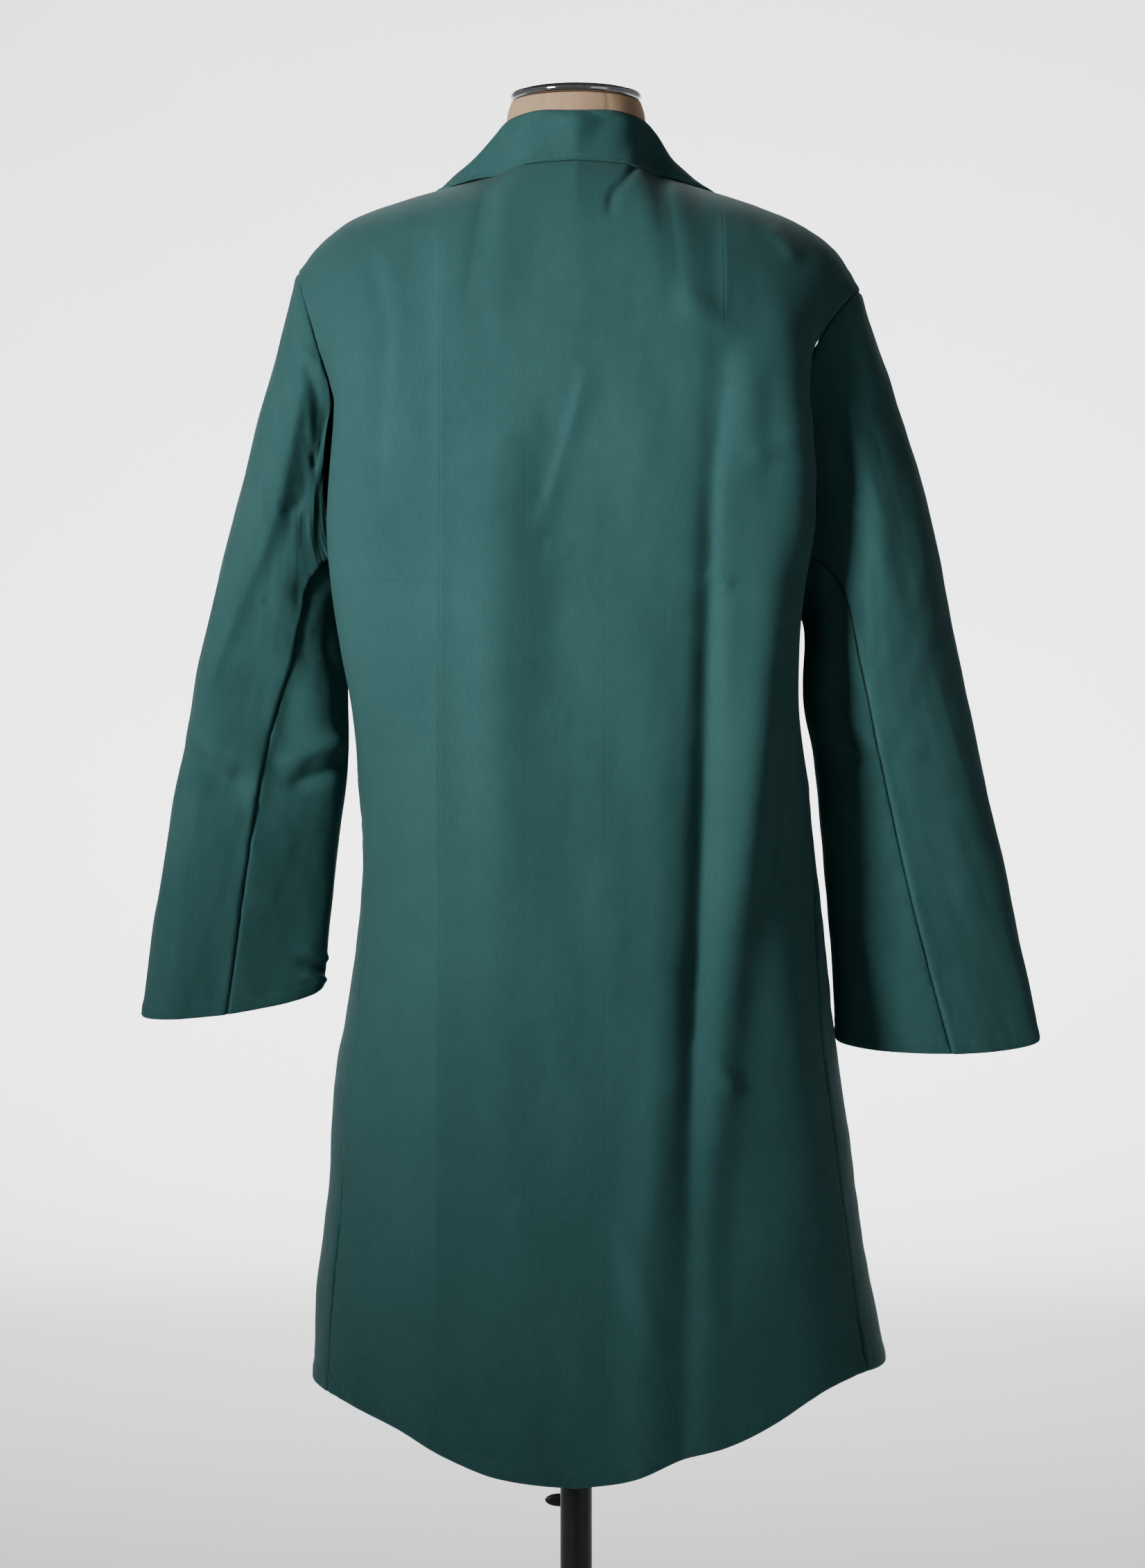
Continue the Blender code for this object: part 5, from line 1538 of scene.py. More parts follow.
@dataclass(frozen=True)
class FrontPanel:
    """One front, from its edge past the centre line to the side seam and the armhole."""

    shape: FrontShape
    side: Side
    finish: bpy.types.Material
    rows: int = 345
    columns: int = 101
    hem_turn: float = 0.013
    edge_turn: float = 0.006
    swell: float = 0.0010
    ripple: float = 0.0004
    calm_top: float = 0.05
    crease_start: tuple[float, float] = (0.046, 0.090)
    cut: Cut = Cut(0.40, 1.08, 0.31)

    def _ends(self, w: Array) -> tuple[Array, Array]:
        """Where each row starts, at the front edge, and ends, at the side seam."""
        return self.shape.roll_t(w), 2 - self.shape.body.side_seam(w)

    def grid(self) -> ClothGrid:
        """The front's base surface, from the hem up and from the front edge to the side."""
        w = body_rows(self.shape.body, Face.FRONT, self.rows)[:, None]
        places = np.linspace(0, 1, 801)
        curves = []
        for row in (0.2, 0.8):
            start, end = self._ends(np.array([row]))
            curves.append(self.shape.body.round_point(start + (end - start) * places, row, self.side))
        share = even_places(curves, places, self.columns, (0.005, 0.006))
        start, end = self._ends(w)
        points = self.shape.body.round_point(start + (end - start) * share, w, self.side)
        return ClothGrid(f"coat_front_{self.side.word}", points, flip=self.side is Side.RIGHT)

    def build(self) -> tuple[bpy.types.Object, list[tuple[Array, Array]]]:
        """The finished front, and the lines of its hem and edge stitches."""
        grid = self.grid()
        x, z = grid.points[..., 0], grid.points[..., 2]
        seed = 40 if self.side is Side.LEFT else 60
        seen = ease(-grid.normals[..., 1], 0.05, 0.40)
        free = ease(grid.distance(Edge.FIRST_COLUMN), *self.crease_start)
        grid.lift += folds_height(FRONT_CREASES[self.side], grid.points, seen * free)
        calm = ease(grid.distance(Edge.LAST_ROW), 0.0, self.calm_top) * free
        grid.lift += calm * self.swell * waves(x, z, seed, (0.040, 0.150), stretch=3.0)
        grid.lift += calm * self.ripple * waves(x, z, seed + 1, (0.014, 0.040), stretch=1.6)
        if self.side is Side.RIGHT:
            grid.lift -= self.shape.under_lap(grid.points)
        grid.sew(Edge.LAST_COLUMN, seed + 2)
        grid.sew(Edge.LAST_ROW, seed + 3)
        grid.turn_in(Edge.FIRST_ROW, seed + 4, self.hem_turn)
        grid.turn_in(Edge.FIRST_COLUMN, seed + 5, self.edge_turn, pucker=0.00015)
        piece = dress_coat(grid.build(self.finish), grid.name)
        self.cut.declare(piece, "draped", ("torso",))
        top = int(np.searchsorted(grid.points[:, 0, 2], self.shape.break_z - 0.01))
        return piece, [grid.edge_line(Edge.FIRST_ROW, self.hem_turn, 2, -2),
                       grid.edge_line(Edge.FIRST_COLUMN, self.edge_turn, 5, top)]


@dataclass(frozen=True)
class Lapel:
    """The turned facing of one front: a soft roll over the front's edge, then a flat that lies on it."""

    shape: FrontShape
    side: Side
    finish: bpy.types.Material
    rows: int = 97
    flat_columns: int = 49
    roll_columns: int = 8
    roll_start: float = 1.9
    edge_turn: float = 0.006
    behind: float = 0.0012
    ripple: float = 0.0005
    cut: Cut = Cut(0.115, 0.250, 0.0125)

    def grid(self) -> ClothGrid:
        """The lapel's surface: a half circle round the front's edge, then the front's own surface
        moved out by a lift that grows towards the gorge."""
        shape, body = self.shape, self.shape.body
        foot = shape.foot + shape.lapel_start[0 if self.side is Side.LEFT else 1]
        r = np.linspace(0, 1, self.rows)[:, None]
        d = np.linspace(0, 1, self.flat_columns)[None, :]
        w = foot + r * (shape.gorge_w - shape.gorge_slant * d - foot)
        t = shape.roll_t(w) + d * (shape.lapel_foot_t + (shape.lapel_t - shape.lapel_foot_t) * r)
        base, normal = body.point(t, w, self.side, Face.FRONT), body.normal(t, w, self.side, Face.FRONT)
        lift = GAP + CLOTH + shape.lapel_lift * np.sqrt(r) * (1 - 0.3 * d)
        if self.side is Side.RIGHT:
            lift = lift - shape.under_lap(base)
        flat = base + normal * lift[..., None]
        turn = np.linspace(self.roll_start, 0, self.roll_columns, endpoint=False)[None, :, None]
        high, out = lift[:, :1, None], unit(base[:, :1] - base[:, 2:3])
        half, middle = (high + self.behind) / 2, (high - self.behind) / 2
        roll = base[:, :1] + normal[:, :1] * (middle + half * np.cos(turn)) + out * half * np.sin(turn)
        return ClothGrid(f"lapel_{self.side.word}", np.concatenate([roll, flat], axis=1),
                         flip=self.side is Side.RIGHT, coarse=2)

    def build(self) -> tuple[bpy.types.Object, list[tuple[Array, Array]]]:
        """The finished lapel, and the lines of its stitches."""
        grid = self.grid()
        seed = 80 if self.side is Side.LEFT else 90
        away = ease(grid.distance(Edge.FIRST_COLUMN), 0.008, 0.03)
        x, z = grid.points[..., 0], grid.points[..., 2]
        grid.lift += away * self.ripple * waves(x, z, seed, (0.02, 0.08))
        for edge in (Edge.LAST_ROW, Edge.LAST_COLUMN):
            grid.turn_in(edge, seed + edge.value, self.edge_turn, pucker=0.00012)
        piece = dress_coat(grid.build(self.finish), grid.name)
        self.cut.declare(piece, "folded", (f"coat_front_{self.side.word}",))
        inset = 3
        return piece, [grid.edge_line(Edge.LAST_COLUMN, self.edge_turn, inset, -2 * inset),
                       grid.edge_line(Edge.LAST_ROW, self.edge_turn, self.roll_columns + inset, -2 * inset)]


@dataclass(frozen=True)
class Collar:
    """The turned collar: a stand round the neck, a soft fold, and a fall that lies on the shoulders."""

    body: BodyShape
    finish: bpy.types.Material
    columns: int = 241
    rows: int = 61
    roll: float = 0.0050
    stand_share: float = 0.82
    stand_lean: float = 0.0012
    swell: float = 0.0015
    right_hollow: float = 0.0055
    edge_turn: float = 0.0045
    edge_rub: float = 0.0016
    bead: float = 0.0009
    bead_width: float = 0.0010
    dip: float = 0.0024
    dip_x: float = 0.061
    dip_width: float = 0.014
    ripple: float = 0.0006
    smooth: int = 7
    cut: Cut = Cut(0.42, 0.085, 0.030)
    lines: tuple[tuple[float, tuple[float, float, float], tuple[float, float, float], float, float],
                 ...] = (
        (0.00, (0.000, 0.0660, 1.4990), (0.000, 0.0700, 1.5350), 0.00, 2.945),
        (0.25, (0.034, 0.0590, 1.4985), (0.036, 0.0620, 1.5350), 0.19, 2.930),
        (0.45, (0.060, 0.0360, 1.4960), (0.059, 0.0330, 1.5300), 0.39, 2.920),
        (0.62, (0.070, 0.0030, 1.4930), (0.0665, 0.0040, 1.5180), 0.50, 3.000),
        (0.80, (0.067, -0.0260, 1.4945), (0.066, -0.0300, 1.5060), 0.54, 3.120),
        (1.00, (0.059, -0.0560, 1.4800), (0.061, -0.0600, 1.4880), 0.53, 3.260))

    def _edge(self, t: Array, v: Array, side: Array) -> Array:
        """The fall's outer edge on the body: v is the row on the back up to 3, and 6 less the row on
        the front past it; a short running mean takes out the turn between the two."""
        edge = np.zeros((len(t), 3))
        for face in Face:
            for one in Side:
                pick = ((v <= 3) == (face is Face.BACK)) & (side == one.value)
                row = np.where(v[pick] <= 3, v[pick], 6 - v[pick])
                normal = self.body.normal(t[pick], row, one, face)
                edge[pick] = self.body.point(t[pick], row, one, face) + normal * (CLOTH + GAP)
        reach = self.smooth
        before = 2 * edge[:1] - edge[reach:0:-1]
        after = 2 * edge[-1:] - edge[-2:-reach - 2:-1]
        padded = np.concatenate([before, edge, after])
        return np.mean([padded[k:k + len(edge)] for k in range(2 * reach + 1)], axis=0)

    def grid(self) -> ClothGrid:
        """The collar's surface: a smooth curve through its seam, stand, fold, fall and edge."""
        s = np.linspace(-1, 1, self.columns)
        side, s = np.where(s < 0, -1, 1), np.abs(s)
        knots = [line[0] for line in self.lines]
        seam, fold, edge_t, v = (spline(knots, [line[k] for line in self.lines], s) for k in (1, 2, 3, 4))
        edge = self._edge(edge_t, v, side)
        edge[:, 2] -= self.dip * np.exp(-((np.abs(edge[:, 0]) - self.dip_x) / self.dip_width) ** 2)
        mirror = np.stack([side, np.ones_like(side), np.ones_like(side)], axis=-1)
        seam, fold = seam * mirror, fold * mirror
        out = unit(edge * (1, 1, 0) - fold * (1, 1, 0))
        up = np.array((0.0, 0.0, 1.0))
        top_in = seam + (fold - seam) * self.stand_share - out * self.stand_lean
        top_out = fold + out * self.roll - up * self.roll
        hollow = np.where(side > 0, 0, self.right_hollow * np.minimum(s / 0.4, 1))[:, None]
        middle = (top_out + edge) / 2 + out * (self.swell - hollow) + up * 2 * self.swell
        lines = np.stack([seam, top_in, fold, top_out, middle, edge])
        places = np.linspace(0, 1, 601)
        knots = [0, 0.30, 0.40, 0.48, 0.72, 1.0]
        centre = spline(knots, lines[:, self.columns // 2], places)
        rows = even_places([centre], places, self.rows, (0, 0.003))
        return ClothGrid("collar", spline(knots, lines, rows), coarse=2)

    def build(self) -> tuple[bpy.types.Object, list[tuple[Array, Array]]]:
        """The finished collar, and the lines of its edge stitches."""
        grid = self.grid()
        run = grid.across - grid.across.mean(1, keepdims=True)
        fall = ease(grid.along, 0.036, 0.050)
        grid.lift += fall * self.ripple * waves(run, grid.along, 101, (0.020, 0.090))
        for edge in (Edge.LAST_ROW, Edge.FIRST_COLUMN, Edge.LAST_COLUMN):
            grid.turn_in(edge, 102 + edge.value, self.edge_turn, pucker=0.00018)
        d = grid.distance(Edge.LAST_ROW)
        grid.lift += self.bead * np.exp(-((d - self.edge_rub) / self.bead_width) ** 2)
        grid.worn = np.maximum(grid.worn, np.exp(-(d / self.edge_rub) ** 2))
        piece = dress_coat(grid.build(self.finish), "collar")
        self.cut.declare(piece, "folded", ("coat_back",))
        return piece, [grid.edge_line(Edge.LAST_ROW, self.edge_turn, 4, -4)]


SLEEVE_CREASES = {
    (Side.LEFT, Face.BACK): (
        Fold(((0.2179, 1.3364), (0.2280, 1.2828), (0.2506, 1.1953), (0.2703, 1.1530), (0.2833, 1.1213),
              (0.3042, 1.0627), (0.3172, 1.0203)), 0.0330, -0.0150, Profile.STEP, 0.0, 0.15, 0.15, 0.10),
        Fold(((0.3190, 1.0290), (0.3040, 0.9990), (0.2850, 0.9890), (0.2560, 0.9990)), 0.0120, -0.0100),
        Fold(((0.2455, 0.9994), (0.2162, 1.0164), (0.1863, 1.0288)), 0.0080, 0.0058, Profile.SOFT, 0.0,
             0.30, 0.20),
        Fold(((0.2400, 0.9830), (0.2120, 0.9960), (0.1870, 1.0080)), 0.0075, -0.0060, Profile.SOFT, 0.0,
             0.30, 0.20),
        Fold(((0.2080, 1.1750), (0.2077, 1.1100), (0.2050, 1.0550)), 0.0170, -0.0085, Profile.SOFT, 0.0,
             0.35, 0.45),
        Fold(((0.2455, 1.2100), (0.2162, 1.2224)), 0.0060, -0.0024),
        Fold(((0.2600, 1.1420), (0.2510, 1.1350)), 0.0050, -0.0016),
        Fold(((0.2241, 1.3443), (0.1970, 1.3166)), 0.0050, 0.0024, Profile.SOFT, 0.0, 0.1, 0.4),
        Fold(((0.2212, 1.3324), (0.2054, 1.2890)), 0.0050, -0.0022, Profile.SOFT, 0.0, 0.1, 0.4),
        Fold(((0.2196, 1.3070), (0.2156, 1.2625)), 0.0055, 0.0020),
        Fold(((0.2145, 1.2613), (0.2066, 1.2450)), 0.0040, -0.0026),
        Fold(((0.2330, 0.8570), (0.2026, 0.8420)), 0.0040, 0.0030, Profile.SOFT, 0.0, 0.4, 0.1),
        Fold(((0.2350, 0.8440), (0.2037, 0.8330)), 0.0035, -0.0026, Profile.SOFT, 0.0, 0.4, 0.1),
        Fold(((0.2300, 0.8330), (0.2060, 0.8260)), 0.0035, 0.0026, Profile.SOFT, 0.0, 0.4, 0.1)),
    (Side.RIGHT, Face.BACK): (
        Fold(((-0.2050, 1.340), (-0.2400, 1.230), (-0.2650, 1.100)), 0.0120, 0.0026),
        Fold(((-0.2500, 1.330), (-0.2800, 1.180)), 0.0120, -0.0022),
        Fold(((-0.2100, 1.060), (-0.2500, 1.020), (-0.2900, 1.010)), 0.0090, 0.0030),
        Fold(((-0.2050, 1.035), (-0.2450, 1.000)), 0.0080, -0.0026),
        Fold(((-0.3000, 0.980), (-0.3350, 0.850)), 0.0110, 0.0022)),
    (Side.LEFT, Face.FRONT): (
        Fold(((0.2350, 1.300), (0.2600, 1.190), (0.2800, 1.080)), 0.0110, 0.0028),
        Fold(((0.2000, 1.090), (0.2500, 1.050), (0.2900, 1.045)), 0.0080, 0.0034),
        Fold(((0.2020, 1.050), (0.2500, 1.015)), 0.0080, -0.0030),
        Fold(((0.3000, 1.000), (0.3200, 0.860)), 0.0110, 0.0024)),
    (Side.RIGHT, Face.FRONT): (
        Fold(((-0.2250, 1.300), (-0.2550, 1.190), (-0.2750, 1.080)), 0.0110, 0.0028),
        Fold(((-0.2000, 1.080), (-0.2500, 1.040), (-0.2950, 1.035)), 0.0080, 0.0034),
        Fold(((-0.2050, 1.040), (-0.2550, 1.005)), 0.0080, -0.0030),
        Fold(((-0.3100, 0.990), (-0.3400, 0.860)), 0.0110, 0.0022)),
}


@dataclass(frozen=True)
class SleevePanel:
    """The top or the under piece of a sleeve, between its back seam and its front seam."""

    sleeve: SleeveShape
    under: bool
    finish: bpy.types.Material
    rows: int = 213
    hem_turn: float = 0.011
    head: float = 0.0010
    seam_ridge: float = 0.0018
    seam_width: float = 0.0038
    swell: float = 0.0009
    ripple: float = 0.0003
    head_width: float = 0.009

    @property
    def name(self) -> str:
        """Name of the piece and of its node."""
        return f"sleeve_{'under' if self.under else 'top'}_{self.sleeve.side.word}"

    @property
    def cut(self) -> Cut:
        """The flat cut of the piece, a little wider at the top than at the cuff."""
        return Cut(0.19, 0.50, 0.066) if self.under else Cut(0.36, 0.62, 0.145)

    def grid(self) -> ClothGrid:
        """The piece's base surface, from the armhole to the cuff and from seam to seam."""
        places = np.linspace(0, 1, 801)
        middles = [np.full_like(places, turn) for turn in ((2.9, 4.2) if self.under else (-1.0, 0.2, 1.6))]
        way = even_places([self.sleeve.point(turn, places) for turn in middles], places, self.rows,
                          (0.005, 0.004))[:, None]
        start, end = self.sleeve.seams(self.under, way)
        first, last = (float(seam[self.rows // 2, 0]) for seam in (start, end))
        curve = self.sleeve.point(first + (last - first) * places, np.full_like(places, 0.5))
        share = even_places([curve], places, 61 if self.under else 101, (0.005, 0.005))
        angle = start + (end - start) * share
        grid = ClothGrid(self.name, self.sleeve.point(angle, np.broadcast_to(way, angle.shape)),
                         flip=self.sleeve.side is Side.LEFT)
        grid.lift += self.sleeve.dent(angle, np.broadcast_to(way, angle.shape))
        return grid

    def build(self) -> tuple[bpy.types.Object, list[tuple[Array, Array]]]:
        """The finished piece, and the line of its hem stitches."""
        grid, side = self.grid(), self.sleeve.side
        seed = 120 + 10 * int(self.under) + (0 if side is Side.LEFT else 40)
        for face in Face:
            seen = ease(grid.normals[..., 1] * face.value, 0.0, 0.35)
            grid.lift += folds_height(SLEEVE_CREASES[(side, face)], grid.points, seen)
        z = grid.points[..., 2]
        grid.lift += self.swell * waves(grid.across, z, seed, (0.035, 0.120), stretch=2.2)
        grid.lift += self.ripple * waves(grid.across, z, seed + 1, (0.012, 0.035), stretch=2.0)
        d = grid.distance(Edge.FIRST_ROW)
        if not self.under:
            grid.lift += self.head * (d / self.head_width) * np.exp(1 - d / self.head_width)
            d = grid.distance(Edge.LAST_COLUMN) / self.seam_width
            grid.lift += self.seam_ridge * d * np.exp(1 - d)
        grid.sew(Edge.FIRST_ROW, seed + 2)
        for edge in (Edge.FIRST_COLUMN, Edge.LAST_COLUMN):
            grid.sew(edge, seed + edge.value)
        grid.turn_in(Edge.LAST_ROW, seed + 6, self.hem_turn, pucker=0.00035)
        piece = dress_coat(grid.build(self.finish), self.name)
        self.cut.declare(piece, "hung", ("coat_back",))
        return piece, [grid.edge_line(Edge.LAST_ROW, self.hem_turn, 2, -2)]


@dataclass(frozen=True)
class Buttons:
    """Four-hole buttons sewn down the left front, with their thread and their worked buttonholes."""

    shape: FrontShape
    finish: bpy.types.Material
    thread: bpy.types.Material
    count: int = 4
    pitch: float = 0.135
    top_z: float = 1.175
    radius: float = 0.0100
    height: float = 0.0032
    dish: float = 0.0010
    hole_radius: float = 0.0011
    hole_at: float = 0.0028
    hole_depth: float = 0.0016
    slot_length: float = 0.022
    slot_width: float = 0.0022

    def place(self, number: int) -> tuple[Array, Array]:
        """Centre and outward normal of a button's seat on the left front's centre line."""
        w = np.array(self.shape.body.row_at(self.top_z - number * self.pitch, Side.LEFT))
        zero = np.array(0.0)
        return (self.shape.body.point(zero, w, Side.LEFT, Face.FRONT),
                self.shape.body.normal(zero, w, Side.LEFT, Face.FRONT))

    def disc(self) -> tuple[Array, list[Array]]:
        """Points and faces of a button about +Z: its section runs round a circle, and four round
        hollows, depth exp(-(d / radius)^6), stand for the thread holes."""
        top = self.height
        section = np.concatenate([
            np.stack([np.linspace(0.0003, 0.0058, 22), np.full(22, top - self.dish)], -1),
            arc((0.0058, top - self.dish + 0.0010), 0.0010, 270, 350, 4),
            arc((0.0078, top - 0.0007), 0.0007, 150, 90, 3),
            arc((self.radius - 0.0012, top - 0.0012), 0.0012, 90, 0, 6),
            arc((self.radius - 0.0010, 0.0010), 0.0010, 0, -90, 5)])
        turn = np.linspace(0, 2 * math.pi, 56, endpoint=False)
        x, y = section[:, :1] * np.cos(turn), section[:, :1] * np.sin(turn)
        z = np.broadcast_to(section[:, 1:], x.shape).copy()
        for hole in range(4):
            a = math.pi / 4 + hole * math.pi / 2
            d = np.hypot(x - self.hole_at * math.cos(a), y - self.hole_at * math.sin(a))
            z -= np.where(z > top / 2, self.hole_depth * np.exp(-(d / self.hole_radius) ** 6), 0)
        points = np.concatenate([np.stack([x, y, z], -1).reshape(-1, 3),
                                 [[0, 0, top - self.dish], [0, 0, 0]]])
        index = np.arange(x.size).reshape(x.shape)
        first, last = index[0], index[-1]
        caps = np.concatenate([np.stack([np.full(56, x.size), first, np.roll(first, -1)], -1),
                               np.stack([np.full(56, x.size + 1), np.roll(last, -1), last], -1)])
        return points, [grid_faces(index, closed=True)[:, ::-1], caps]

    def build(self) -> None:
        """Make each button, its crossed thread and its buttonhole."""
        points, faces = self.disc()
        threads, holes = [], []
        for number in range(self.count):
            centre, out = self.place(number)
            right = unit(np.cross((0.0, 0.0, 1.0), out))
            up = np.cross(out, right)
            frame = np.stack([right, up, out])
            placed = points @ frame + centre + out * 2 * GAP
            piece = make_piece(f"button_{number + 1}", placed, faces, self.finish, None, None,
                               math.radians(50))
            take_place(piece, f"button_{number + 1}", "form")
            a = self.hole_at * math.sqrt(0.5)
            for height in (-a, a):
                share = np.linspace(-1, 1, 9)
                local = np.stack([share * a * 1.25, np.full(9, height),
                                  self.height - self.dish + 0.0005 - 0.0012 * share ** 4], -1)
                threads.append((local @ frame + centre, np.repeat(out[None], 9, 0)))
            holes += self.buttonhole(centre, frame)
        Stitching(pitch=0.0070, length=0.0058, radius=0.00042, sink=0.0).piece(
            "button_threads", threads, self.thread)
        Stitching(pitch=0.0020, length=0.0018, radius=0.00020, sink=0.0001).piece(
            "buttonhole_stitches", holes, self.thread)

    def buttonhole(self, centre: Array, frame: Array) -> list[tuple[Array, Array]]:
        """Short threads across both lips of the slot, all along its length."""
        side, up, out = frame if frame[0][0] > 0 else (-frame[0], -frame[1], frame[2])
        lines = []
        for x in np.arange(-0.003, self.slot_length - 0.003, 0.00055):
            for lip in (-1, 1):
                low = centre + side * x + up * lip * 0.0002 + out * 0.0001
                lines.append((np.stack([low, low + up * lip * self.slot_width * 0.8]),
                              np.stack([out, out])))
        return lines


@dataclass(frozen=True)
class Coat:
    """The whole coat: its shapes, and the pieces in the order in which they are sewn."""

    body: BodyShape = BodyShape()

    def build(self) -> None:
        """Make the panels, the sleeves, the collar and the lapels, and then the sewing on them."""
        plain = CoatCloth("coat cloth").material()
        back = CoatCloth("coat cloth of the back", BACK_LINES).material()
        thread, resin = THREAD.material(), RESIN.material()
        shape = FrontShape(self.body)
        hems, edges = [], []
        hems += BackPanel(self.body, back).build()[1]
        for side in Side:
            hem, edge = FrontPanel(shape, side, plain).build()[1]
            hems.append(hem)
            edges += [edge, *Lapel(shape, side, plain).build()[1]]
            for under in (False, True):
                hems += SleevePanel(SleeveShape(self.body, side), under, plain).build()[1]
        edges += Collar(self.body, plain).build()[1]
        Stitching().piece("hem_stitches", hems, thread)
        Stitching(pitch=0.0026, length=0.0021, radius=0.00020).piece("edge_stitches", edges, thread)
        Buttons(shape, resin, thread).build()


# ---- the dress form and its stand ---------------------------------------------------------------


@dataclass(frozen=True)
class DressForm:
    """The limbless bust of padded linen, with its polished neck cap and the post that carries it."""

    columns: int = 144
    rows: int = 180
    socket_radius: float = 0.0115
    socket_depth: float = 0.060
    cap_radius: float = 0.0550
    cap_z: float = 1.5525
    post_radius: float = 0.0112
    post_wall: float = 0.0015
    post_foot_z: float = 0.160
    seam_depth: float = 0.0009
    seam_width: float = 0.0016

    def torso(self, finish: bpy.types.Material) -> None:
        """The bust: squared ovals up its sections, with seams at six lines, closed at the neck and
        turned in below round the post's socket."""
        low, high = TORSO.rows[0][0], TORSO.rows[-1][0]
        z = np.linspace(low, high, self.rows)
        turn = np.linspace(0, 2 * math.pi, self.columns, endpoint=False)
        half, back, front, square = (TORSO.read(name, z)[:, None] for name in TORSO.columns[1:])
        c, s = np.cos(turn)[None, :], np.sin(turn)[None, :]
        reach = (np.abs(c) ** square + np.abs(s) ** square) ** (1 / square)
        shell = np.stack([half * c / reach, np.where(s > 0, back, front) * s / reach,
                          np.broadcast_to(z[:, None], reach.shape)], -1)
        girth = np.hypot(shell[..., 0], shell[..., 1])
        groove = sum(np.exp(-(girth * np.abs(np.angle(np.exp(1j * (turn - line)))) / self.seam_width) ** 2)
                     for line in np.radians((0, 62, 118, 180, 242, 298)))
        shell[..., :2] *= (1 - self.seam_depth * groove / girth)[..., None]
        rings = []
        for share in (0.99, 0.95, 0.6, 0.25):
            rings.append(shell[0] * (share, share, 1) - (0, 0, 0.004 * (1 - share) ** 0.3))
        for depth in (0.0, self.socket_depth):
            ring = np.stack([self.socket_radius * np.cos(turn), self.socket_radius * np.sin(turn),
                             np.full_like(turn, low + depth)], -1)
            rings.append(ring)
        lid = [shell[-1] * (share, share, 1) + (0, 0, 0.0003 * (1 - share)) for share in (0.97, 0.7, 0.3)]
        body = np.concatenate([np.stack(rings[::-1]), shell, np.stack(lid)])
        points = np.concatenate([body.reshape(-1, 3), [[0, 0, low + self.socket_depth], [0, 0, high]]])
        index = np.arange(body[..., 0].size).reshape(body.shape[:2])
        caps = np.concatenate([
            np.stack([np.full(self.columns, index.size), np.roll(index[0], -1), index[0]], -1),
            np.stack([np.full(self.columns, index.size + 1), index[-1], np.roll(index[-1], -1)], -1)])
        run = np.concatenate([run_length(body, 0).reshape(-1), [0.0, 1.0]])
        around = np.concatenate([np.broadcast_to(turn * 0.14, index.shape).reshape(-1), [0.0, 0.0]])
        piece = make_piece("torso", points, [grid_faces(index, closed=True), caps], finish,
                           np.stack([around, run], -1), None, math.radians(60))
        take_place(piece, "torso", "form")

    def build(self) -> None:
        """Make the bust, the neck cap and the post."""
        self.torso(Linen().material())
        chrome = CHROME.material()
        low, r = self.cap_z, self.cap_radius
        profile = np.concatenate([
            [[0.0, low + 0.0135]], np.stack([np.linspace(0.004, r - 0.008, 16),
                                            low + 0.0135 - 0.0050 * np.linspace(0.08, 1, 16) ** 2], -1),
            arc((r - 0.004, low + 0.0045), 0.0040, 80, -90, 16), [[0.0, low + 0.0005]]])
        take_place(turned("cap", profile, chrome, 128), "neck_cap", "form")
        top = TORSO.rows[0][0] + self.socket_depth - GAP
        inner, outer, lip = self.post_radius - self.post_wall, self.post_radius, 0.0004
        foot = self.post_foot_z
        profile = np.array([(outer - lip, top), (outer, top - lip), (outer, foot + lip),
                            (outer - lip, foot), (inner + lip, foot), (inner, foot + lip),
                            (inner, top - lip), (inner + lip, top)])
        take_place(turned("tube", profile, chrome, 64), "post", "post")


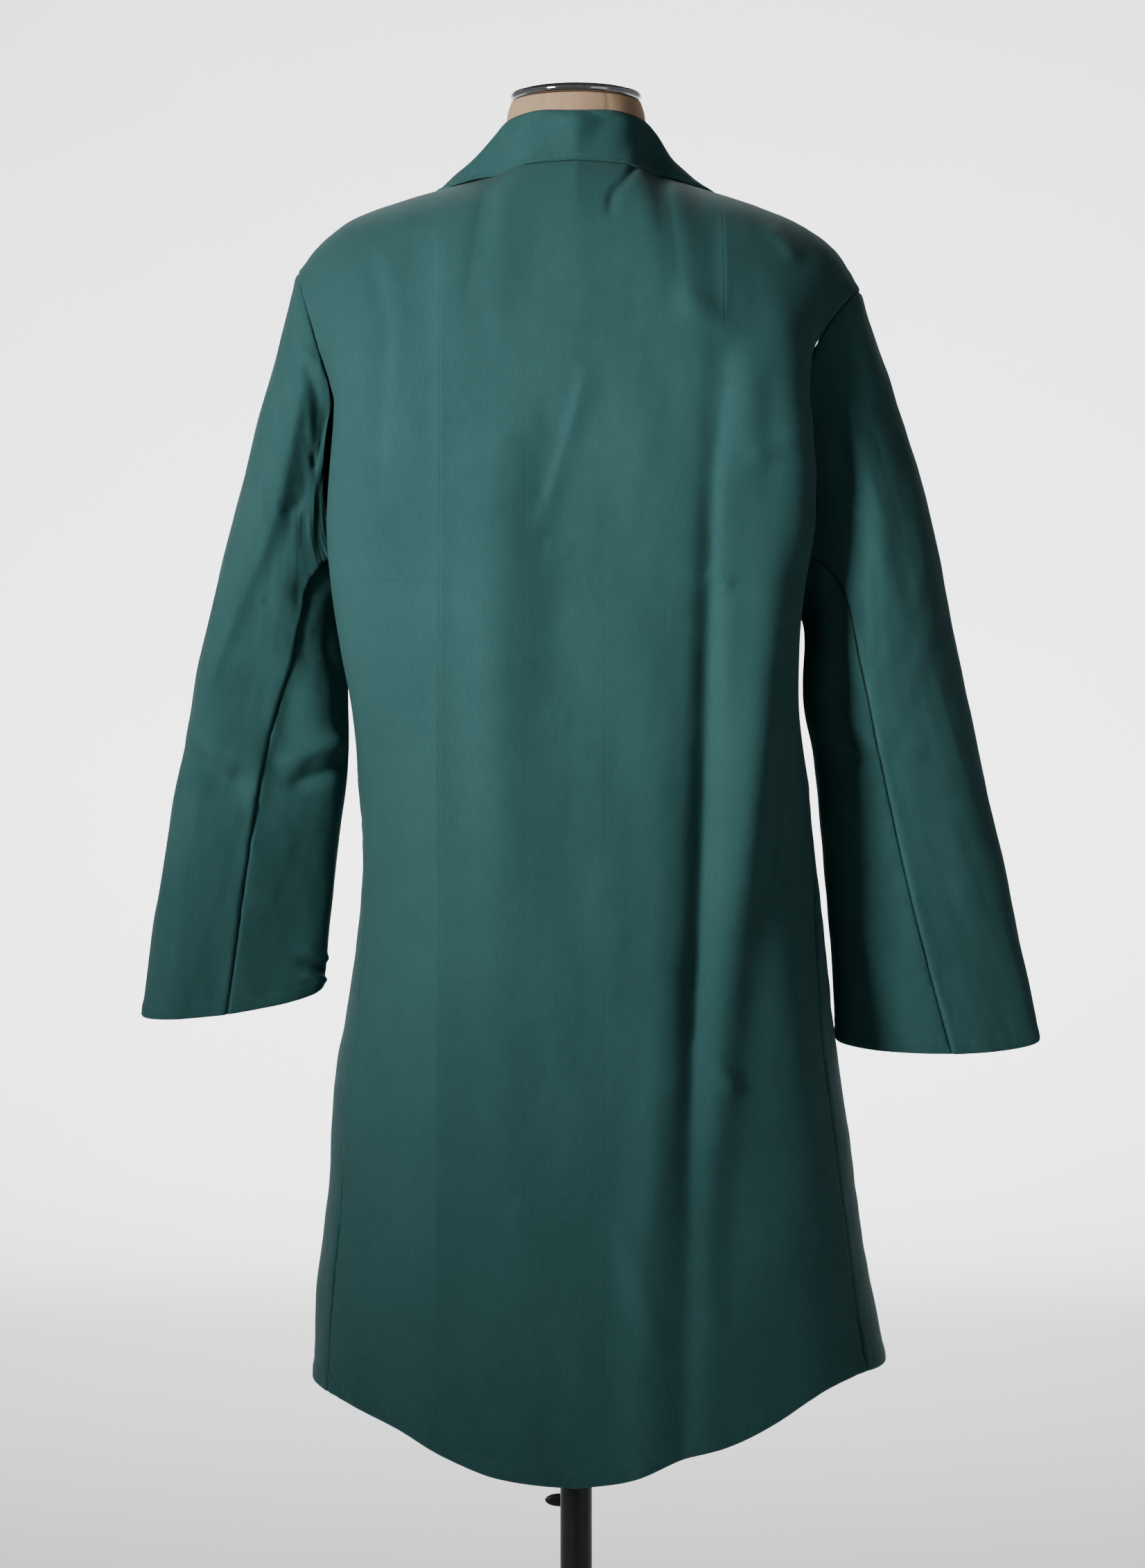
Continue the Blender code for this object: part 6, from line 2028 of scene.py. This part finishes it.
@dataclass(frozen=True)
class Stand:
    """The stand of black painted steel: a plate, its tube, and the clamp that grips the post."""

    base_radius: float = 0.170
    base_height: float = 0.012
    socket_z: float = 0.045
    tube_radius: float = 0.0132
    tube_wall: float = 0.0017
    tube_top: float = 0.480
    clamp_z: float = 0.3905
    boss_radius: float = 0.0080
    boss_length: float = 0.0090
    screw_radius: float = 0.0040
    hub_radius: float = 0.0070
    hub_length: float = 0.0070
    wing_middle: float = 0.0080
    wing_length: float = 0.0180
    wing_height: float = 0.0072
    wing_depth: float = 0.0030

    def base(self, finish: bpy.types.Material) -> bpy.types.Object:
        """The round plate with its short socket, all edges softly rounded."""
        bore, low, r = self.tube_radius + GAP, self.base_height, self.base_radius
        profile = np.concatenate([
            [[0.0, low - 0.002], [bore, low - 0.002], [bore, self.socket_z - 0.0010]],
            arc((bore + 0.0010, self.socket_z - 0.0010), 0.0010, 180, 90, 4),
            arc((bore + 0.0038, self.socket_z - 0.0012), 0.0012, 90, 0, 5),
            arc((bore + 0.0130, low + 0.0072), 0.0076, 188, 262, 8),
            [[r - 0.015, low - 0.0030]], arc((r - 0.006, low - 0.0090), 0.0060, 70, 0, 8),
            arc((r - 0.0010, 0.0010), 0.0010, 0, -90, 4), [[0.0, 0.0]]])
        return turned("plate", profile, finish, 160)

    def tube(self, finish: bpy.types.Material) -> bpy.types.Object:
        """The stand's tube, open above for the post."""
        r, low, high, lip = self.tube_radius, self.base_height - 0.002 + GAP, self.tube_top, 0.0005
        inner = r - self.tube_wall
        return turned("tube", np.array([
            (r - lip, high), (r, high - lip), (r, low), (inner, low), (inner, high - lip),
            (inner + lip, high)]), finish, 64)

    def clamp(self, name: str, profile: Array, finish: bpy.types.Material) -> bpy.types.Object:
        """A turned piece of the clamp, laid along -Y from the tube's face: (x, y, z) -> (x, -z, y)."""
        piece = turned(name, profile, finish, 48)
        co = np.zeros(len(piece.data.vertices) * 3, np.float32)
        piece.data.vertices.foreach_get("co", co)
        co = co.reshape(-1, 3)
        laid = np.stack([co[:, 0], -co[:, 2] - self.tube_radius - GAP, co[:, 1] + self.clamp_z], -1)
        piece.data.vertices.foreach_set("co", laid.ravel())
        piece.data.update()
        return piece

    def wings(self, finish: bpy.types.Material) -> bpy.types.Object:
        """The long and the short wing of the clamp screw as one smooth lobed bar: x = M + L cos a cos b,
        its height H |sin a|^1.1 cos b, and its depth D sin b, waisted at the middle."""
        a = np.linspace(0, 2 * math.pi, 96, endpoint=False)[None, :]
        b = np.linspace(-math.pi / 2, math.pi / 2, 19)[1:-1, None]
        girth = np.cos(b) ** 0.35
        x = self.wing_middle + self.wing_length * np.cos(a) * girth
        waist = 0.72 + 0.28 * np.abs(np.cos(a))
        z = self.wing_height * np.sign(np.sin(a)) * np.abs(np.sin(a)) ** 1.1 * girth * waist
        mid = self.tube_radius + 2 * GAP + self.boss_length + self.hub_length / 2
        y = -mid + self.wing_depth * np.sin(b) * np.ones_like(a)
        points = np.stack([x, y, z + self.clamp_z], -1)
        index = np.arange(x.size).reshape(x.shape)
        ends = [[self.wing_middle, -mid + turn * self.wing_depth, self.clamp_z] for turn in (-1, 1)]
        caps = np.concatenate([np.stack([np.full(96, x.size), index[0], np.roll(index[0], -1)], -1),
                               np.stack([np.full(96, x.size + 1), np.roll(index[-1], -1), index[-1]], -1)])
        return make_piece("clamp_wings", np.concatenate([points.reshape(-1, 3), ends]),
                          [grid_faces(index, closed=True)[:, ::-1], caps], finish)

    def build(self) -> None:
        """Make the plate, the tube, the clamp's boss and its winged screw."""
        black = BLACK_STEEL.material()
        plate, tube = self.base(black), self.tube(black)
        bore, r, end = self.screw_radius + GAP, self.boss_radius, self.boss_length
        boss = self.clamp("boss", np.array([
            (r - 0.0008, end), (r, end - 0.0008), (r, 0.0), (bore, 0.0), (bore, end - 0.0005),
            (bore + 0.0005, end)]), black)
        low, hub = end + GAP, self.hub_radius
        screw = self.clamp("screw", np.array([
            (0.0, low + self.hub_length), (hub - 0.0012, low + self.hub_length),
            (hub, low + self.hub_length - 0.0012), (hub, low + 0.0004), (hub - 0.0004, low),
            (self.screw_radius, low), (self.screw_radius, 0.0010), (self.screw_radius - 0.0008, 0.0005),
            (0.0, 0.0005)]), black)
        for piece, node, body in ((plate, "base_plate", "stand"), (tube, "stand_tube", "stand"),
                                  (boss, "clamp_boss", "stand"), (screw, "clamp_screw", "clamp")):
            take_place(piece, node, body)
        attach(self.wings(black), "clamp")


# ---- the studio ---------------------------------------------------------------------------------


@dataclass(frozen=True)
class Lamp:
    """A square soft light; its spread in degrees is narrow where a grid keeps its beam together."""

    name: str
    at: tuple[float, float, float]
    aim: tuple[float, float, float]
    size: float
    power: float
    spread: float = 180.0

    def build(self) -> None:
        """Hang the light at its place, turned to its aim and unseen by the camera."""
        lamp = bpy.data.lights.new(self.name, "AREA")
        lamp.size, lamp.energy, lamp.spread = self.size, self.power, math.radians(self.spread)
        item = bpy.data.objects.new(self.name, lamp)
        item.location = self.at
        item.rotation_euler = (Vector(self.aim) - Vector(self.at)).to_track_quat("-Z", "Y").to_euler()
        item.visible_camera = False
        bpy.context.scene.collection.objects.link(item)


@dataclass(frozen=True)
class Studio:
    """A plain pale bowl for floor and backdrop, a soft key at the camera's left, and faint fills."""

    floor_radius: float = 4.6
    bowl_radius: float = 3.4
    rim_z: float = 7.0
    camera_at: tuple[float, float, float] = (0.003, 3.000, 0.989)
    lens: float = 83.1
    sensor: float = 36.0
    world: float = 0.05
    world_colour: Colour = (0.93, 0.95, 1.0)
    lamps: tuple[Lamp, ...] = (
        Lamp("key", (1.90, 1.98, 1.60), (-0.20, 0.10, 1.26), 0.55, 6.5, 42.0),
        Lamp("fill", (-2.2, 2.6, 1.0), (0.0, 0.0, 1.0), 1.8, 5.0),
        Lamp("front", (0.0, -3.0, 2.2), (0.0, 0.0, 1.1), 1.8, 14.0),
        Lamp("floor", (0.0, -4.0, 4.0), (0.0, -3.7, 0.0), 3.0, 320.0, 120.0),
        Lamp("backdrop left", (1.7, -3.2, 3.4), (1.0, -7.9, 1.4), 2.0, 400.0, 110.0),
        Lamp("backdrop right", (-1.7, -3.2, 3.4), (-1.0, -7.9, 1.4), 2.0, 455.0, 110.0))

    def backdrop(self) -> None:
        """The bowl: a flat disc, a quarter circle up, and a wall, turned about +Z."""
        r, bend = self.floor_radius, self.bowl_radius
        profile = np.concatenate([[[r + bend, self.rim_z]], arc((r, bend), bend, 0, -90, 40),
                                  [[r * 0.66, 0.0], [r * 0.33, 0.0], [0.4, 0.0]]])[::-1]
        turn = np.linspace(0, 2 * math.pi, 160, endpoint=False)
        points = np.stack([profile[:, :1] * np.cos(turn), profile[:, :1] * np.sin(turn),
                           np.broadcast_to(profile[:, 1:], (len(profile), len(turn)))], -1)
        index = np.arange(points[..., 0].size).reshape(points.shape[:2])
        middle = np.stack([np.full(len(turn), index.size), index[0], np.roll(index[0], -1)], -1)
        floor = make_piece("studio_floor", np.concatenate([points.reshape(-1, 3), [[0, 0, 0]]]),
                           [grid_faces(index, closed=True)[:, ::-1], middle], FLOOR.material())

    def build(self) -> None:
        """Make the camera, the lights, the world and the backdrop."""
        lens = bpy.data.cameras.new("camera")
        lens.lens, lens.sensor_width, lens.sensor_fit = self.lens, self.sensor, "AUTO"
        lens.clip_end = 40.0
        camera = bpy.data.objects.new("camera", lens)
        camera.location, camera.rotation_euler = self.camera_at, (math.pi / 2, 0, math.pi)
        bpy.context.scene.collection.objects.link(camera)
        bpy.context.scene.camera = camera
        for lamp in self.lamps:
            lamp.build()
        world = bpy.data.worlds.new("studio")
        world.use_nodes = True
        shade = world.node_tree.nodes["Background"]
        shade.inputs["Color"].default_value = full(self.world_colour)
        shade.inputs["Strength"].default_value = self.world
        bpy.context.scene.world = world
        self.backdrop()


def main() -> None:
    """Build the studio, the stand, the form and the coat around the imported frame."""
    logging.basicConfig(level=logging.INFO, format="%(name)s: %(message)s")
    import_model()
    Studio().build()
    Stand().build()
    DressForm().build()
    Coat().build()


if __name__ == "__main__":
    main()
